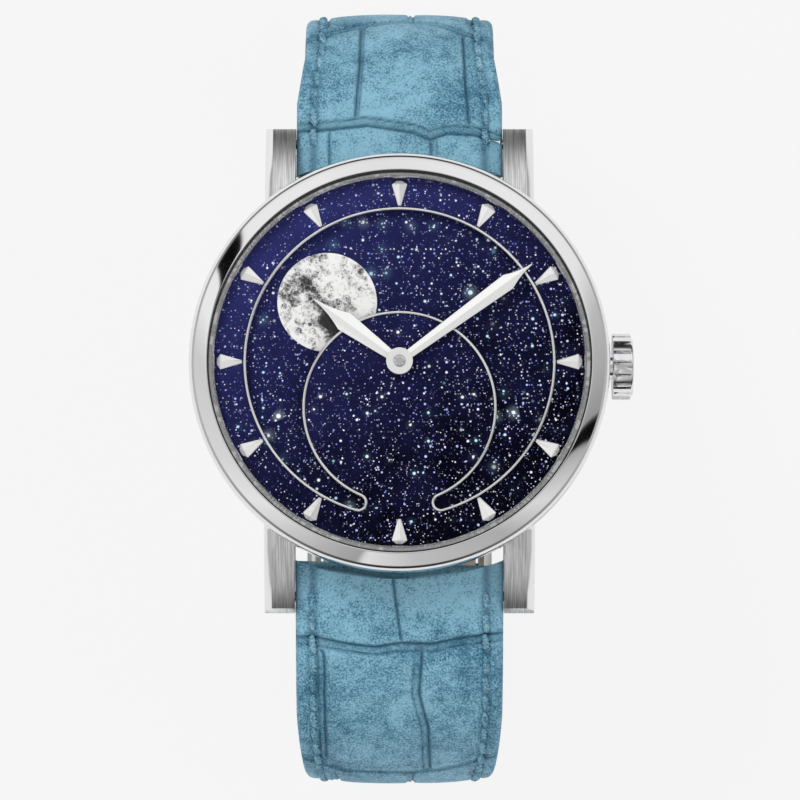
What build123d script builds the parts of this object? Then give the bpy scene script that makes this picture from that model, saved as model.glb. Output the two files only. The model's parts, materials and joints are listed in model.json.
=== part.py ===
from build123d import *
import math
import os

os.makedirs("parts", exist_ok=True)

# Millimetres. +Z leaves the dial, +Y is twelve o'clock and +X is the crown side.
# The origin lies under the dial's axis, on the plane that the closed strap stands on.

# Watch head
dial_height = 50.0
dial_radius = 17.65
dial_thickness = 0.4
dial_gap = 0.1
plate_depth = 2.0
movement_seat = 0.95
movement_bore = dial_radius - movement_seat
case_wall = 2.9
case_radius = movement_bore + case_wall
case_height = 6.6
case_foot = 1.0
bezel_overhang = 0.4
bezel_radius = case_radius + bezel_overhang
bezel_height = 3.6
bezel_rim_width = 0.5
arc_share = 0.3
drop_share = 0.4
bezel_rim_drop = 0.9
bezel_face_rise = 0.35
bezel_lip_width = 0.1
rehaut_width = 0.2
rehaut_height = 0.95
glass_lap = 0.45
glass_radius = dial_radius + glass_lap
glass_gap = 0.1
glass_edge = 0.95
glass_rise = 1.0
glass_inner_rise = 0.9
glass_bevel = 0.3
glass_seat_width = 0.8
back_wall = 1.8
back_radius = case_radius - back_wall
back_rim = 1.2
back_drop = 0.4
back_ring = 3.8
back_glass_radius = back_radius - back_ring
back_glass_thickness = 0.9
back_lip = 0.3
back_lip_height = 0.15
back_screw_inset = 0.6
back_screw_circle = back_radius - back_screw_inset
back_screw_count = 6
back_screw_head = 0.5
back_screw_sink = 0.5
back_screw_length = 1.0
back_screw_angle = 30.0
gasket_height = 0.2

# Lugs and spring bars
lug_gap = 20.0
lug_width = 2.9
lug_span = 47.0
lug_bevel = 0.7
lug_sink = 5.6
lug_root = case_radius - lug_sink
lug_tip_drop = 3.0
lug_foot_drop = 7.1
lug_under_drop = 6.0
lug_nose = 0.7
bar_inset = 1.6
bar_place = lug_span / 2 - bar_inset
bar_drop = 4.5
bar_radius = 0.8
bar_tip_radius = 0.45
bar_tip_length = 0.8

# Crown and winding stem
crown_radius = 3.2
crown_length = 1.7
crown_cap = 0.25
crown_cap_share = 0.86
rounding_share = 0.8
crown_gap = 0.4
crown_place = bezel_radius + crown_gap
crown_flutes = 18
crown_hollow = 1.35
crown_hollow_depth = 1.0
crown_travel = 1.1
stem_drop = 2.3
stem_radius = 0.55
stem_square = 0.4
stem_shoulder = 9.6
stem_end = 6.4
tube_radius = 1.2
tube_length = 4.5
clutch_radius = 1.2
clutch_length = 1.8
winding_radius = 1.66
winding_length = 1.2
winding_teeth = 16
winding_mesh_share = 0.9

# Dial furniture
aperture_inner = 9.1
aperture_offset = 4.35
aperture_cap = 0.75
aperture_wire = 0.3
aperture_wire_height = 0.22
aperture_bevel = 0.08
marker_inset = 0.3
marker_end = dial_radius - marker_inset
marker_length = 2.4
marker_tail = 0.35
marker_start = marker_end - marker_length
marker_wide = marker_end - marker_tail
marker_width = 1.5
marker_tip_width = 0.3
marker_end_width = 0.55
marker_ridge = 0.45
marker_edge = 0.12
moon_place = 9.0
moon_radius = 4.75
moon_angle = 140.0
moon_height = 0.3
aperture_inset = 0.25
aperture_outer = marker_start - aperture_inset
disc_lap = 0.05
disc_radius = marker_start + disc_lap
disc_thickness = 0.3

# Hands: lengths from the axis, angles clockwise from twelve
minute_length = 15.6
minute_shoulder = 12.8
minute_width = 1.6
minute_base = 0.8
minute_angle = 53.7
hour_length = 10.1
hour_shoulder = 6.5
hour_width = 1.95
hour_base = 0.75
hour_angle = 306.2
hand_ridge = 0.25
hand_edge = 0.12
hand_tip = 0.12
hub_radius = 1.27
hour_hub_height = 0.35
minute_hub_height = 0.4
hand_level = 0.3
pin_radius = 0.5
pin_height = 0.25

# Motion work under the dial
level_pitch = 0.2
level_gap = 0.02
arbor_radius = 0.3
cannon_radius = 0.58
hour_pipe = 1.0
pipe_gap = 0.06
motion_distance = 3.6
motion_angle = 0.0
moon_distance = 6.6
moon_wheel_angle = 180.0
cannon_leaves = 12
minute_teeth = 36
minute_leaves = 10
hour_teeth = 40
hour_leaves = 10
moon_wheel_teeth = 59
moon_leaves = 10
moon_teeth = 100

# Movement
ring_width = 1.1
plate_radius = movement_bore - ring_width
plate_thickness = 1.4
train_space = 1.8
bridge_inset = 0.4
bridge_radius = plate_radius - bridge_inset
bridge_thickness = 1.0
bridge_gap = 0.4
pillar_radius = 1.0
pillar_inset = 1.3
pillar_circle = bridge_radius - pillar_inset
pivot_radius = 0.12
pivot_hole = 0.15
pivot_depth = 0.6
jewel_radius = 0.55
jewel_height = 0.4
screw_radius = 0.3
screw_head = 0.65
screw_head_height = 0.25
screw_gap = 0.03
wheel_thickness = 0.2
barrel_distance = 6.72
barrel_angle = 70.0
barrel_teeth = 72
centre_leaves = 12
centre_teeth = 64
third_leaves = 8
third_distance = 5.4
third_angle = 200.0
third_teeth = 60
fourth_leaves = 8
fourth_distance = 4.76
fourth_angle = 270.0
fourth_teeth = 70
escape_leaves = 7
escape_distance = 4.62
escape_angle = 350.0
escape_teeth = 15
escape_radius = 2.15
pallet_angle = 344.5
pallet_distance = 2.75
balance_distance = 3.2
balance_radius = 4.5
balance_rim = 0.6
balance_height = 0.45
roller_radius = 0.7
impulse_place = 0.55
drum_wall = 0.25
drum_radius = 5.2
barrel_arbor = 0.8
ratchet_teeth = 42
crown_wheel_teeth = 34
crown_wheel_place = 6.65
ratchet_thickness = 0.35
rotor_inset = 1.2
rotor_radius = plate_radius - rotor_inset
rotor_rim = 2.8
rotor_web = 0.25
rotor_depth = 0.85
rotor_gap = 0.2
bearing_radius = 1.8
cock_foot_angle = 330.0
barrel_rise_share = 1.15
centre_level_share = 0.75
fourth_level_share = 2.5
third_level_share = 2.75
pallet_width_share = 1.5
pallet_arbor_share = 1.5
pallet_pivot_share = 0.8
horn_share = 0.55
balance_level_share = 0.55
spring_level_share = 0.2
arm_share = 2.5
balance_arms = 3
arm_angle = 30.0
click_offset = 1.3
click_angle = 130.0
click_nose_angle = 106.0
click_boss_share = 1.3
spring_thickness = 0.1
spring_gap = 0.45

# Closed strap loop
strap_gap = 0.8
strap_end_place = case_radius + strap_gap
strap_cover = 1.9
strap_root = strap_end_place - strap_cover
strap_end_radius = 31.1
strap_clearance = 0.12
strap_width = lug_gap - strap_clearance
strap_buckle_width = 16.0
strap_waist_width = 18.2
waist_gap = 2.8
waist_length = 6.5
strap_lug_thickness = 3.8
strap_tail_thickness = 2.2
lining_thickness = 0.7
strap_droop = 12.0
strap_droop_length = 6.0
reach_upper = 37.15
reach_lower = 39.55
foot_radius = 10.56
upper_bend = 37.0
tail_extra = 9.0
tail_tip_radius = 4.0
soft_gap = 0.25

# Buckle and keepers
buckle_bar_place = 5.0
buckle_bar_radius = 0.6
buckle_length = 12.0
buckle_leg = 1.4
buckle_side_gap = 0.3
cross_bar_width = 2.0
cross_bar_height = 1.35
eye_radius = 1.15
fit_gap = 0.05
tongue_width = 1.8
tongue_height = 0.7
tongue_lift = 0.05
tongue_tip_share = 0.6
tongue_root_share = 0.9
tongue_neck_width = 1.15
tail_holes = 6
tail_holes_before = 1
tail_hole_pitch = 6.0
tail_hole_radius = 0.8
keeper_wall = 1.0
keeper_floor = 1.3
keeper_width = 4.0
keeper_gap = 0.3
free_keeper_place = 10.5
free_keeper_travel = 3.0

overrun = 5.0

# Levels, worked out from the dial down to the back
dial_bottom = dial_height - dial_thickness
plate_top = dial_height - plate_depth
plate_bottom = plate_top - plate_thickness
bridge_top = plate_bottom - train_space
bridge_bottom = bridge_top - bridge_thickness
ratchet_bottom = bridge_bottom - bridge_gap
rotor_top = ratchet_bottom - rotor_gap
case_bottom = plate_top - case_height
back_bottom = case_bottom - back_drop
back_top = back_bottom + back_rim
glass_seat = dial_height + rehaut_height
bezel_bore = dial_radius + dial_gap
disc_bottom = plate_top + 4 * level_pitch + 3 * level_gap
disc_top = disc_bottom + disc_thickness
bar_height = plate_top - bar_drop
stem_height = plate_top - stem_drop


def polar(centre, distance, angle):
    """The point at a distance and an angle from a centre, in plan."""
    turn = math.radians(angle)
    return centre[0] + distance * math.cos(turn), centre[1] + distance * math.sin(turn)


def mesh_phase(phase, teeth, mate_teeth, direction):
    """The angle of a mate's tooth that stands in mesh with a gear, seen along a direction."""
    share = (direction - phase) * teeth / 360
    return direction + 180 + (share + 0.5) * 360 / mate_teeth


axis_place = (0, 0)
barrel_place = polar(axis_place, barrel_distance, barrel_angle)
third_place = polar(axis_place, third_distance, third_angle)
fourth_place = polar(third_place, fourth_distance, fourth_angle)
escape_place = polar(fourth_place, escape_distance, escape_angle)
pallet_place = polar(escape_place, pallet_distance, pallet_angle)
balance_place = polar(pallet_place, balance_distance, pallet_angle)
crown_wheel_centre = (crown_wheel_place, 0)
minute_place = polar(axis_place, motion_distance, motion_angle)
moon_wheel_centre = polar(axis_place, moon_distance, moon_wheel_angle)
barrel_module = 2 * barrel_distance / (barrel_teeth + centre_leaves)
third_module = 2 * third_distance / (centre_teeth + third_leaves)
fourth_module = 2 * fourth_distance / (third_teeth + fourth_leaves)
escape_module = 2 * escape_distance / (fourth_teeth + escape_leaves)
ratchet_distance = math.dist(crown_wheel_centre, barrel_place)
ratchet_module = 2 * ratchet_distance / (ratchet_teeth + crown_wheel_teeth)
cannon_module = 2 * motion_distance / (cannon_leaves + minute_teeth)
hour_module = 2 * motion_distance / (minute_leaves + hour_teeth)
moon_wheel_module = 2 * moon_distance / (hour_leaves + moon_wheel_teeth)
moon_module = 2 * moon_distance / (moon_leaves + moon_teeth)


def disc(radius, low, high, centre=axis_place, mode=Mode.ADD):
    """An upright disc between two heights, in the piece being built."""
    with Locations((centre[0], centre[1], low)):
        Cylinder(radius, high - low, align=(Align.CENTER, Align.CENTER, Align.MIN), mode=mode)


def rod(radius, start, end, mode=Mode.ADD):
    """A rod along the winding stem's axis, in the piece being built."""
    with BuildSketch(Plane.YZ.offset(start)) as section:
        with Locations((0, stem_height)):
            Circle(radius)
    extrude(section.sketch, amount=end - start, mode=mode)


def tooth_points(teeth, module, phase, centre, tip_share=0.24, root_share=0.6):
    """The corners of a toothed outline: a root and a tip edge for each tooth."""
    addendum_share, dedendum_share = 0.85, 1.15
    tip = (teeth / 2 + addendum_share) * module
    root = (teeth / 2 - dedendum_share) * module
    pitch = 360 / teeth
    points = []
    for index in range(teeth):
        middle = phase + index * pitch
        points.append(polar(centre, root, middle - pitch * root_share / 2))
        points.append(polar(centre, tip, middle - pitch * tip_share / 2))
        points.append(polar(centre, tip, middle + pitch * tip_share / 2))
        points.append(polar(centre, root, middle + pitch * root_share / 2))
    return points


def gear(teeth, module, phase, centre, low, high, plane=Plane.XY):
    """A toothed disc between two heights, in the piece being built."""
    with BuildSketch(plane.offset(low)) as section:
        with BuildLine():
            Polyline(*tooth_points(teeth, module, phase, centre), close=True)
        make_face()
    extrude(section.sketch, amount=high - low)


def crossings(radius, centre, low, high, count=4):
    """The round openings between a wheel's arms."""
    place_share, size_share = 0.58, 0.3
    for index in range(count):
        spot = polar(centre, radius * place_share, index * 360 / count)
        disc(radius * size_share, low, high, spot, Mode.SUBTRACT)


def staff(centre, low, high, wide_low, wide_high, radius=arbor_radius):
    """An arbor with a thin pivot at each end."""
    disc(pivot_radius, low, high, centre)
    disc(radius, wide_low, wide_high, centre)


def blade_plane(angle, height):
    """A level plane whose Y axis points at an angle clockwise from twelve."""
    turn = math.radians(angle)
    return Plane(origin=(0, 0, height), x_dir=(math.cos(turn), -math.sin(turn), 0), z_dir=(0, 0, 1))


def blade_section(angle, height):
    """An upright plane across a blade, with its normal along the blade."""
    turn = math.radians(angle)
    return Plane(
        origin=(0, 0, height),
        x_dir=(-math.cos(turn), math.sin(turn), 0),
        z_dir=(math.sin(turn), math.cos(turn), 0),
    )


def roof(angle, height, half_width, edge, ridge, length):
    """Cuts the piece being built to two long facets that meet in a ridge."""
    with BuildSketch(blade_section(angle, height)) as section:
        with BuildLine():
            Polyline(
                (-half_width, 0), (half_width, 0), (half_width, edge),
                (0, ridge), (-half_width, edge), close=True,
            )
        make_face()
    extrude(section.sketch, amount=length, mode=Mode.INTERSECT)


def make_lug():
    """One lug, at the corner between twelve and three o'clock."""
    tip = lug_span / 2
    shoulder_share, shoulder_drop_share = 0.55, 0.3
    shoulder = lug_root + (tip - lug_root) * shoulder_share
    shoulder_height = plate_top - lug_tip_drop * shoulder_drop_share
    nose_height = plate_top - (lug_tip_drop + lug_foot_drop) / 2
    with BuildPart() as lug:
        with BuildSketch(Plane.YZ.offset(lug_gap / 2)):
            with BuildLine():
                ThreePointArc(
                    (lug_root, plate_top), (shoulder, shoulder_height),
                    (tip - lug_nose / 2, plate_top - lug_tip_drop)
                )
                Polyline(
                    (tip - lug_nose / 2, plate_top - lug_tip_drop), (tip, nose_height),
                    (tip - lug_nose, plate_top - lug_foot_drop), (lug_root, plate_top - lug_under_drop),
                    (lug_root, plate_top),
                )
            make_face()
        extrude(amount=lug_width)
        outer_face = lug.faces().filter_by(Axis.X).sort_by(Axis.X)[-1]
        chamfer(outer_face.edges().sort_by(Axis.Z)[-1], length=lug_bevel)
    return lug.part


def make_case_middle():
    """The case body with its four lugs and the bores for stem and spring bars."""
    lug = make_lug()
    with BuildPart() as case_middle:
        with BuildSketch(Plane.XZ):
            with BuildLine():
                Polyline(
                    (movement_bore, case_bottom), (case_radius - case_foot, case_bottom),
                    (case_radius, case_bottom + case_foot), (case_radius, plate_top),
                    (movement_bore, plate_top), close=True,
                )
            make_face()
        revolve(axis=Axis.Z)
        add(lug)
        mirror(about=Plane.XZ)
        mirror(about=Plane.YZ)
        disc(back_radius + fit_gap, case_bottom - overrun, back_top, mode=Mode.SUBTRACT)
        rod(tube_radius, 0, bezel_radius, Mode.SUBTRACT)
        for side in (-1, 1):
            with Locations((0, side * bar_place, bar_height)):
                Cylinder(
                    bar_tip_radius + fit_gap, lug_gap + 2 * (bar_tip_length + fit_gap),
                    rotation=(0, 90, 0), mode=Mode.SUBTRACT,
                )
        for index in range(back_screw_count):
            spot = polar(axis_place, back_screw_circle, index * 360 / back_screw_count + back_screw_angle)
            disc(
                screw_radius + screw_gap, back_top, back_top + back_screw_length + fit_gap,
                spot, Mode.SUBTRACT,
            )
    case_middle.part.label = "case_middle"
    export_step(case_middle.part, "parts/case_middle.step")


def make_bezel():
    """The polished ring that holds the glass."""
    top = glass_seat + glass_edge - glass_bevel
    rim = bezel_radius - bezel_rim_width
    seat = glass_radius + glass_gap
    with BuildPart() as bezel:
        with BuildSketch(Plane.XZ):
            with BuildLine():
                Polyline(
                    (seat, top), (seat, glass_seat), (bezel_bore, glass_seat), (bezel_bore, plate_top),
                    (bezel_radius, plate_top), (bezel_radius, top - bezel_face_rise - bezel_rim_drop),
                )
                ThreePointArc(
                    (bezel_radius, top - bezel_face_rise - bezel_rim_drop),
                    (
                        bezel_radius - bezel_rim_width * arc_share,
                        top - bezel_face_rise - bezel_rim_drop * drop_share,
                    ),
                    (rim, top - bezel_face_rise),
                )
                ThreePointArc(
                    (rim, top - bezel_face_rise),
                    ((rim + seat) / 2, top - bezel_face_rise * arc_share),
                    (seat + bezel_lip_width, top),
                )
                Line((seat + bezel_lip_width, top), (seat, top))
            make_face()
        revolve(axis=Axis.Z)
    bezel.part.label = "bezel"
    export_step(bezel.part, "parts/bezel.step")


def make_rehaut_ring():
    """The inner ring between the dial and the glass."""
    with BuildPart() as rehaut_ring:
        disc(bezel_bore, dial_height, glass_seat)
        disc(bezel_bore - rehaut_width, dial_height, glass_seat, mode=Mode.SUBTRACT)
    rehaut_ring.part.label = "rehaut_ring"
    export_step(rehaut_ring.part, "parts/rehaut_ring.step")


def dome_middle(width, rise, top):
    """A point halfway down a round dome's outline, from its half width, rise and top."""
    radius = (width**2 + rise**2) / (2 * rise)
    turn = math.asin(width / radius) / 2
    return radius * math.sin(turn), top - radius * (1 - math.cos(turn))


def make_crystal():
    """The domed sapphire glass."""
    edge_top = glass_seat + glass_edge
    inner = glass_radius - glass_seat_width
    with BuildPart() as crystal:
        with BuildSketch(Plane.XZ):
            with BuildLine():
                Line((0, glass_seat + glass_inner_rise), (0, edge_top + glass_rise))
                ThreePointArc(
                    (0, edge_top + glass_rise),
                    dome_middle(glass_radius - glass_bevel, glass_rise, edge_top + glass_rise),
                    (glass_radius - glass_bevel, edge_top),
                )
                Polyline(
                    (glass_radius - glass_bevel, edge_top), (glass_radius, edge_top - glass_bevel),
                    (glass_radius, glass_seat), (inner, glass_seat),
                )
                ThreePointArc(
                    (inner, glass_seat), dome_middle(inner, glass_inner_rise, glass_seat + glass_inner_rise),
                    (0, glass_seat + glass_inner_rise),
                )
            make_face()
        revolve(axis=Axis.Z)
    crystal.part.label = "crystal"
    export_step(crystal.part, "parts/crystal.step")


def make_crystal_gasket():
    """The seal between glass and bezel."""
    top = glass_seat + glass_edge - glass_bevel
    with BuildPart() as crystal_gasket:
        disc(glass_radius + glass_gap, glass_seat, top)
        disc(glass_radius, glass_seat, top, mode=Mode.SUBTRACT)
    crystal_gasket.part.label = "crystal_gasket"
    export_step(crystal_gasket.part, "parts/crystal_gasket.step")


def make_case_back():
    """The ring of the case back, with its window and screw holes."""
    with BuildPart() as case_back:
        disc(back_radius, back_bottom, back_top)
        disc(back_glass_radius - back_lip, back_bottom, back_top, mode=Mode.SUBTRACT)
        disc(back_glass_radius, back_bottom + back_lip_height, back_top, mode=Mode.SUBTRACT)
        chamfer(case_back.edges().group_by(Axis.Z)[0].sort_by(SortBy.RADIUS)[-1], length=back_lip)
        for index in range(back_screw_count):
            spot = polar(axis_place, back_screw_circle, index * 360 / back_screw_count + back_screw_angle)
            disc(screw_radius + screw_gap, back_bottom, back_top, spot, Mode.SUBTRACT)
            disc(
                back_screw_head + screw_gap, back_bottom,
                back_bottom + back_screw_sink, spot, Mode.SUBTRACT,
            )
    case_back.part.label = "case_back"
    export_step(case_back.part, "parts/case_back.step")


def make_back_crystal():
    """The window in the case back."""
    low = back_bottom + back_lip_height
    with BuildPart() as back_crystal:
        disc(back_glass_radius, low, low + back_glass_thickness)
    back_crystal.part.label = "back_crystal"
    export_step(back_crystal.part, "parts/back_crystal.step")


def make_back_gasket():
    """The seal between the case back and the case."""
    middle = (back_glass_radius + movement_bore) / 2
    with BuildPart() as back_gasket:
        disc(middle + gasket_height, back_top, back_top + gasket_height)
        disc(middle - gasket_height, back_top, back_top + gasket_height, mode=Mode.SUBTRACT)
    back_gasket.part.label = "back_gasket"
    export_step(back_gasket.part, "parts/back_gasket.step")


def make_back_screws():
    """The screws that hold the case back."""
    head_top = back_bottom + back_screw_sink
    with BuildPart() as back_screws:
        for index in range(back_screw_count):
            spot = polar(axis_place, back_screw_circle, index * 360 / back_screw_count + back_screw_angle)
            disc(back_screw_head, head_top - screw_head_height, head_top, spot)
            disc(screw_radius, head_top, back_top + back_screw_length, spot)
    back_screws.part.label = "back_screws"
    export_step(back_screws.part, "parts/back_screws.step")


def make_spring_bars():
    """The two bars that carry the strap between the lugs."""
    with BuildPart() as spring_bars:
        for side in (-1, 1):
            with Locations((0, side * bar_place, bar_height)):
                Cylinder(bar_radius, lug_gap - 2 * soft_gap, rotation=(0, 90, 0))
                Cylinder(bar_tip_radius, lug_gap + 2 * bar_tip_length, rotation=(0, 90, 0))
    spring_bars.part.label = "spring_bars"
    export_step(spring_bars.part, "parts/spring_bars.step")


def make_crown_tube():
    """The tube that the stem runs in."""
    start = movement_bore
    with BuildPart() as crown_tube:
        rod(tube_radius, start, start + tube_length)
        rod(stem_radius + fit_gap, start, start + tube_length, Mode.SUBTRACT)
    crown_tube.part.label = "crown_tube"
    export_step(crown_tube.part, "parts/crown_tube.step")


def make_crown():
    """The fluted crown, hollow over its tube."""
    end = crown_place + crown_length
    flute_module_share, tip_share, root_share = 0.1, 0.66, 0.9
    module = crown_radius * flute_module_share
    with BuildPart() as crown:
        with BuildSketch(Plane.YZ.offset(crown_place)):
            with BuildLine():
                points = tooth_points(crown_flutes, module, 0, (0, stem_height), tip_share, root_share)
                Polyline(*points, close=True)
            make_face()
        extrude(amount=crown_length)
        rod(crown_radius * crown_cap_share, end, end + crown_cap)
        rod(crown_hollow, crown_place, crown_place + crown_hollow_depth, Mode.SUBTRACT)
        fillet(crown.faces().sort_by(Axis.X)[-1].edges(), radius=crown_cap * rounding_share)
    crown.part.label = "crown"
    export_step(crown.part, "parts/crown.step")


def make_winding_stem():
    """The stem: round in its tube, thinner where the pinion slides on it."""
    with BuildPart() as winding_stem:
        rod(stem_radius, stem_shoulder, crown_place + crown_hollow_depth)
        rod(stem_square, stem_end, stem_shoulder)
    winding_stem.part.label = "winding_stem"
    export_step(winding_stem.part, "parts/winding_stem.step")


def make_winding_pinion():
    """The toothed pinion that drives the crown wheel, beside the stem's shoulder."""
    start = stem_shoulder - winding_length - fit_gap
    module = 2 * winding_radius / winding_teeth * winding_mesh_share
    with BuildPart() as winding_pinion:
        gear(winding_teeth, module, 0, (0, stem_height), start, start + winding_length, Plane.YZ)
        rod(stem_square + fit_gap, start, start + winding_length, Mode.SUBTRACT)
    winding_pinion.part.label = "winding_pinion"
    export_step(winding_pinion.part, "parts/winding_pinion.step")


def make_sliding_pinion():
    """The clutch that the stem turns, waisted for its yoke."""
    start = stem_shoulder - winding_length - fit_gap - clutch_length
    waist_share, band_share = 0.75, 0.3
    with BuildPart() as sliding_pinion:
        rod(clutch_radius * waist_share, start, start + clutch_length)
        rod(clutch_radius, start, start + clutch_length * band_share)
        rod(clutch_radius, start + clutch_length * (1 - band_share), start + clutch_length)
        rod(stem_square + fit_gap, start, start + clutch_length, Mode.SUBTRACT)
    sliding_pinion.part.label = "sliding_pinion"
    export_step(sliding_pinion.part, "parts/sliding_pinion.step")


def aperture(offset):
    """The crescent outline of the moon's sky, grown on its inside and outside by an offset."""
    outer = aperture_outer + offset
    inner = aperture_inner - offset
    cap = aperture_cap + offset
    outer_path = aperture_outer - aperture_cap
    inner_path = aperture_inner + aperture_cap
    cap_y = (inner_path**2 - outer_path**2 - aperture_offset**2) / (2 * aperture_offset)
    cap_x = math.sqrt(outer_path**2 - cap_y**2)
    outward = math.atan2(cap_y, cap_x)
    inward = math.atan2(cap_y + aperture_offset, cap_x) + math.pi
    middle = (outward + inward) / 2 + math.pi
    right_outer = (outer * math.cos(outward), outer * math.sin(outward))
    right_cap = (cap_x + cap * math.cos(middle), cap_y + cap * math.sin(middle))
    right_inner = (cap_x + cap * math.cos(inward), cap_y + cap * math.sin(inward))
    left = [(-x, y) for x, y in (right_outer, right_cap, right_inner)]
    ThreePointArc(left[0], (0, outer), right_outer)
    ThreePointArc(right_outer, right_cap, right_inner)
    ThreePointArc(right_inner, (0, inner - aperture_offset), left[2])
    ThreePointArc(left[2], left[1], left[0])


def make_dial():
    """The dial with its crescent opening."""
    with BuildPart() as dial:
        with BuildSketch(Plane.XY.offset(dial_bottom)):
            Circle(dial_radius)
            Circle(hour_pipe + dial_gap, mode=Mode.SUBTRACT)
            with BuildLine():
                aperture(-aperture_wire / 2)
            make_face(mode=Mode.SUBTRACT)
        extrude(amount=dial_thickness)
    dial.part.label = "dial"
    export_step(dial.part, "parts/dial.step")


def make_aperture_frame():
    """The raised line around the crescent opening."""
    with BuildPart() as aperture_frame:
        with BuildSketch(Plane.XY.offset(dial_height)):
            with BuildLine():
                aperture(aperture_wire / 2)
            make_face()
            with BuildLine():
                aperture(-aperture_wire / 2)
            make_face(mode=Mode.SUBTRACT)
        extrude(amount=aperture_wire_height)
        chamfer(aperture_frame.faces().sort_by(Axis.Z)[-1].edges(), length=aperture_bevel)
    aperture_frame.part.label = "aperture_frame"
    export_step(aperture_frame.part, "parts/aperture_frame.step")


def make_hour_markers():
    """Twelve wedges with a ridge, standing on the dial."""
    with BuildPart() as blank:
        with BuildSketch(Plane.XY.offset(dial_height)):
            with BuildLine():
                Polyline(
                    (-marker_tip_width / 2, marker_start), (marker_tip_width / 2, marker_start),
                    (marker_width / 2, marker_wide), (marker_end_width / 2, marker_end),
                    (-marker_end_width / 2, marker_end), (-marker_width / 2, marker_wide), close=True,
                )
            make_face()
        extrude(amount=marker_ridge)
        roof(0, dial_height, marker_width / 2, marker_edge, marker_ridge, dial_radius)
    with BuildPart() as hour_markers:
        with Locations(*[Location((0, 0, 0), (0, 0, 30 * hour)) for hour in range(12)]):
            add(blank.part)
    hour_markers.part.label = "hour_markers"
    export_step(hour_markers.part, "parts/hour_markers.step")


def make_dial_spacer():
    """The ring that carries the dial on the case and the plate."""
    with BuildPart() as dial_spacer:
        disc(dial_radius, plate_top, dial_bottom)
        disc(disc_radius + keeper_gap, plate_top, dial_bottom, mode=Mode.SUBTRACT)
    dial_spacer.part.label = "dial_spacer"
    export_step(dial_spacer.part, "parts/dial_spacer.step")


def make_moon_disc():
    """The sky disc that turns under the dial."""
    with BuildPart() as moon_disc:
        disc(disc_radius, disc_bottom, disc_top)
        disc(hour_pipe + dial_gap, disc_bottom, disc_top, mode=Mode.SUBTRACT)
    moon_disc.part.label = "moon_disc"
    export_step(moon_disc.part, "parts/moon_disc.step")


def make_moon_relief():
    """The raised moon on the sky disc."""
    spot = polar(axis_place, moon_place, moon_angle)
    edge_share = 0.45
    with BuildPart() as moon_relief:
        disc(moon_radius, disc_top, disc_top + moon_height, spot)
        chamfer(moon_relief.edges().group_by(Axis.Z)[-1], length=moon_height * edge_share)
    moon_relief.part.label = "moon_relief"
    export_step(moon_relief.part, "parts/moon_relief.step")


def make_hand(name, length, shoulder, width, base, angle, low, hub_height, bore):
    """A hand that widens to a shoulder and narrows in two hollow curves to its tip."""
    hollow_share = 0.36
    middle = (shoulder + length) / 2
    with BuildPart() as hand:
        with BuildSketch(blade_plane(angle, low)):
            with BuildLine():
                Polyline((-width / 2, shoulder), (-base / 2, 0), (base / 2, 0), (width / 2, shoulder))
                ThreePointArc(
                    (width / 2, shoulder), (width / 2 * hollow_share, middle), (hand_tip / 2, length)
                )
                Line((hand_tip / 2, length), (-hand_tip / 2, length))
                ThreePointArc(
                    (-hand_tip / 2, length), (-width / 2 * hollow_share, middle), (-width / 2, shoulder)
                )
            make_face()
        extrude(amount=hand_ridge)
        roof(angle, low, width / 2, hand_edge, hand_ridge, length)
        disc(hub_radius, low, low + hub_height)
        disc(bore, low, low + hub_height, mode=Mode.SUBTRACT)
    hand.part.label = name
    export_step(hand.part, f"parts/{name}.step")


hour_hand_low = dial_height + hand_level
minute_hand_low = hour_hand_low + hour_hub_height + 2 * level_gap
pin_top = minute_hand_low + minute_hub_height + pin_height


def level(number):
    """The lower face of one level of the motion work."""
    return plate_top + level_gap + number * level_pitch


def make_cannon_pinion():
    """The pipe of the minute hand, with leaves at its foot and a domed end."""
    with BuildPart() as cannon_pinion:
        gear(cannon_leaves, cannon_module, 0, axis_place, level(0), level(1) - level_gap)
        disc(cannon_radius, level(0), pin_top)
        disc(arbor_radius + screw_gap, level(0), minute_hand_low, mode=Mode.SUBTRACT)
        fillet(cannon_pinion.faces().sort_by(Axis.Z)[-1].edges(), radius=pin_height * rounding_share)
    cannon_pinion.part.label = "cannon_pinion"
    export_step(cannon_pinion.part, "parts/cannon_pinion.step")


def make_minute_wheel():
    """The wheel between the cannon pinion and the hour wheel."""
    phase = mesh_phase(0, cannon_leaves, minute_teeth, motion_angle)
    with BuildPart() as minute_wheel:
        gear(minute_teeth, cannon_module, phase, minute_place, level(0), level(1) - level_gap)
        gear(minute_leaves, hour_module, 0, minute_place, level(1) - level_gap, level(2) - level_gap)
        disc(pin_radius / 2 + screw_gap, level(0), level(2), minute_place, Mode.SUBTRACT)
    minute_wheel.part.label = "minute_wheel"
    export_step(minute_wheel.part, "parts/minute_wheel.step")


def make_hour_wheel():
    """The hour hand's wheel and pipe, with the leaves that drive the moon."""
    phase = mesh_phase(0, minute_leaves, hour_teeth, motion_angle + 180)
    with BuildPart() as hour_wheel:
        gear(hour_teeth, hour_module, phase, axis_place, level(1), level(2) - level_gap)
        gear(hour_leaves, moon_wheel_module, 0, axis_place, level(2) - level_gap, level(3) - level_gap)
        disc(hour_pipe, level(3) - level_gap, hour_hand_low + hour_hub_height)
        disc(cannon_radius + pipe_gap, level(1), hour_hand_low + hour_hub_height, mode=Mode.SUBTRACT)
    hour_wheel.part.label = "hour_wheel"
    export_step(hour_wheel.part, "parts/hour_wheel.step")


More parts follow.
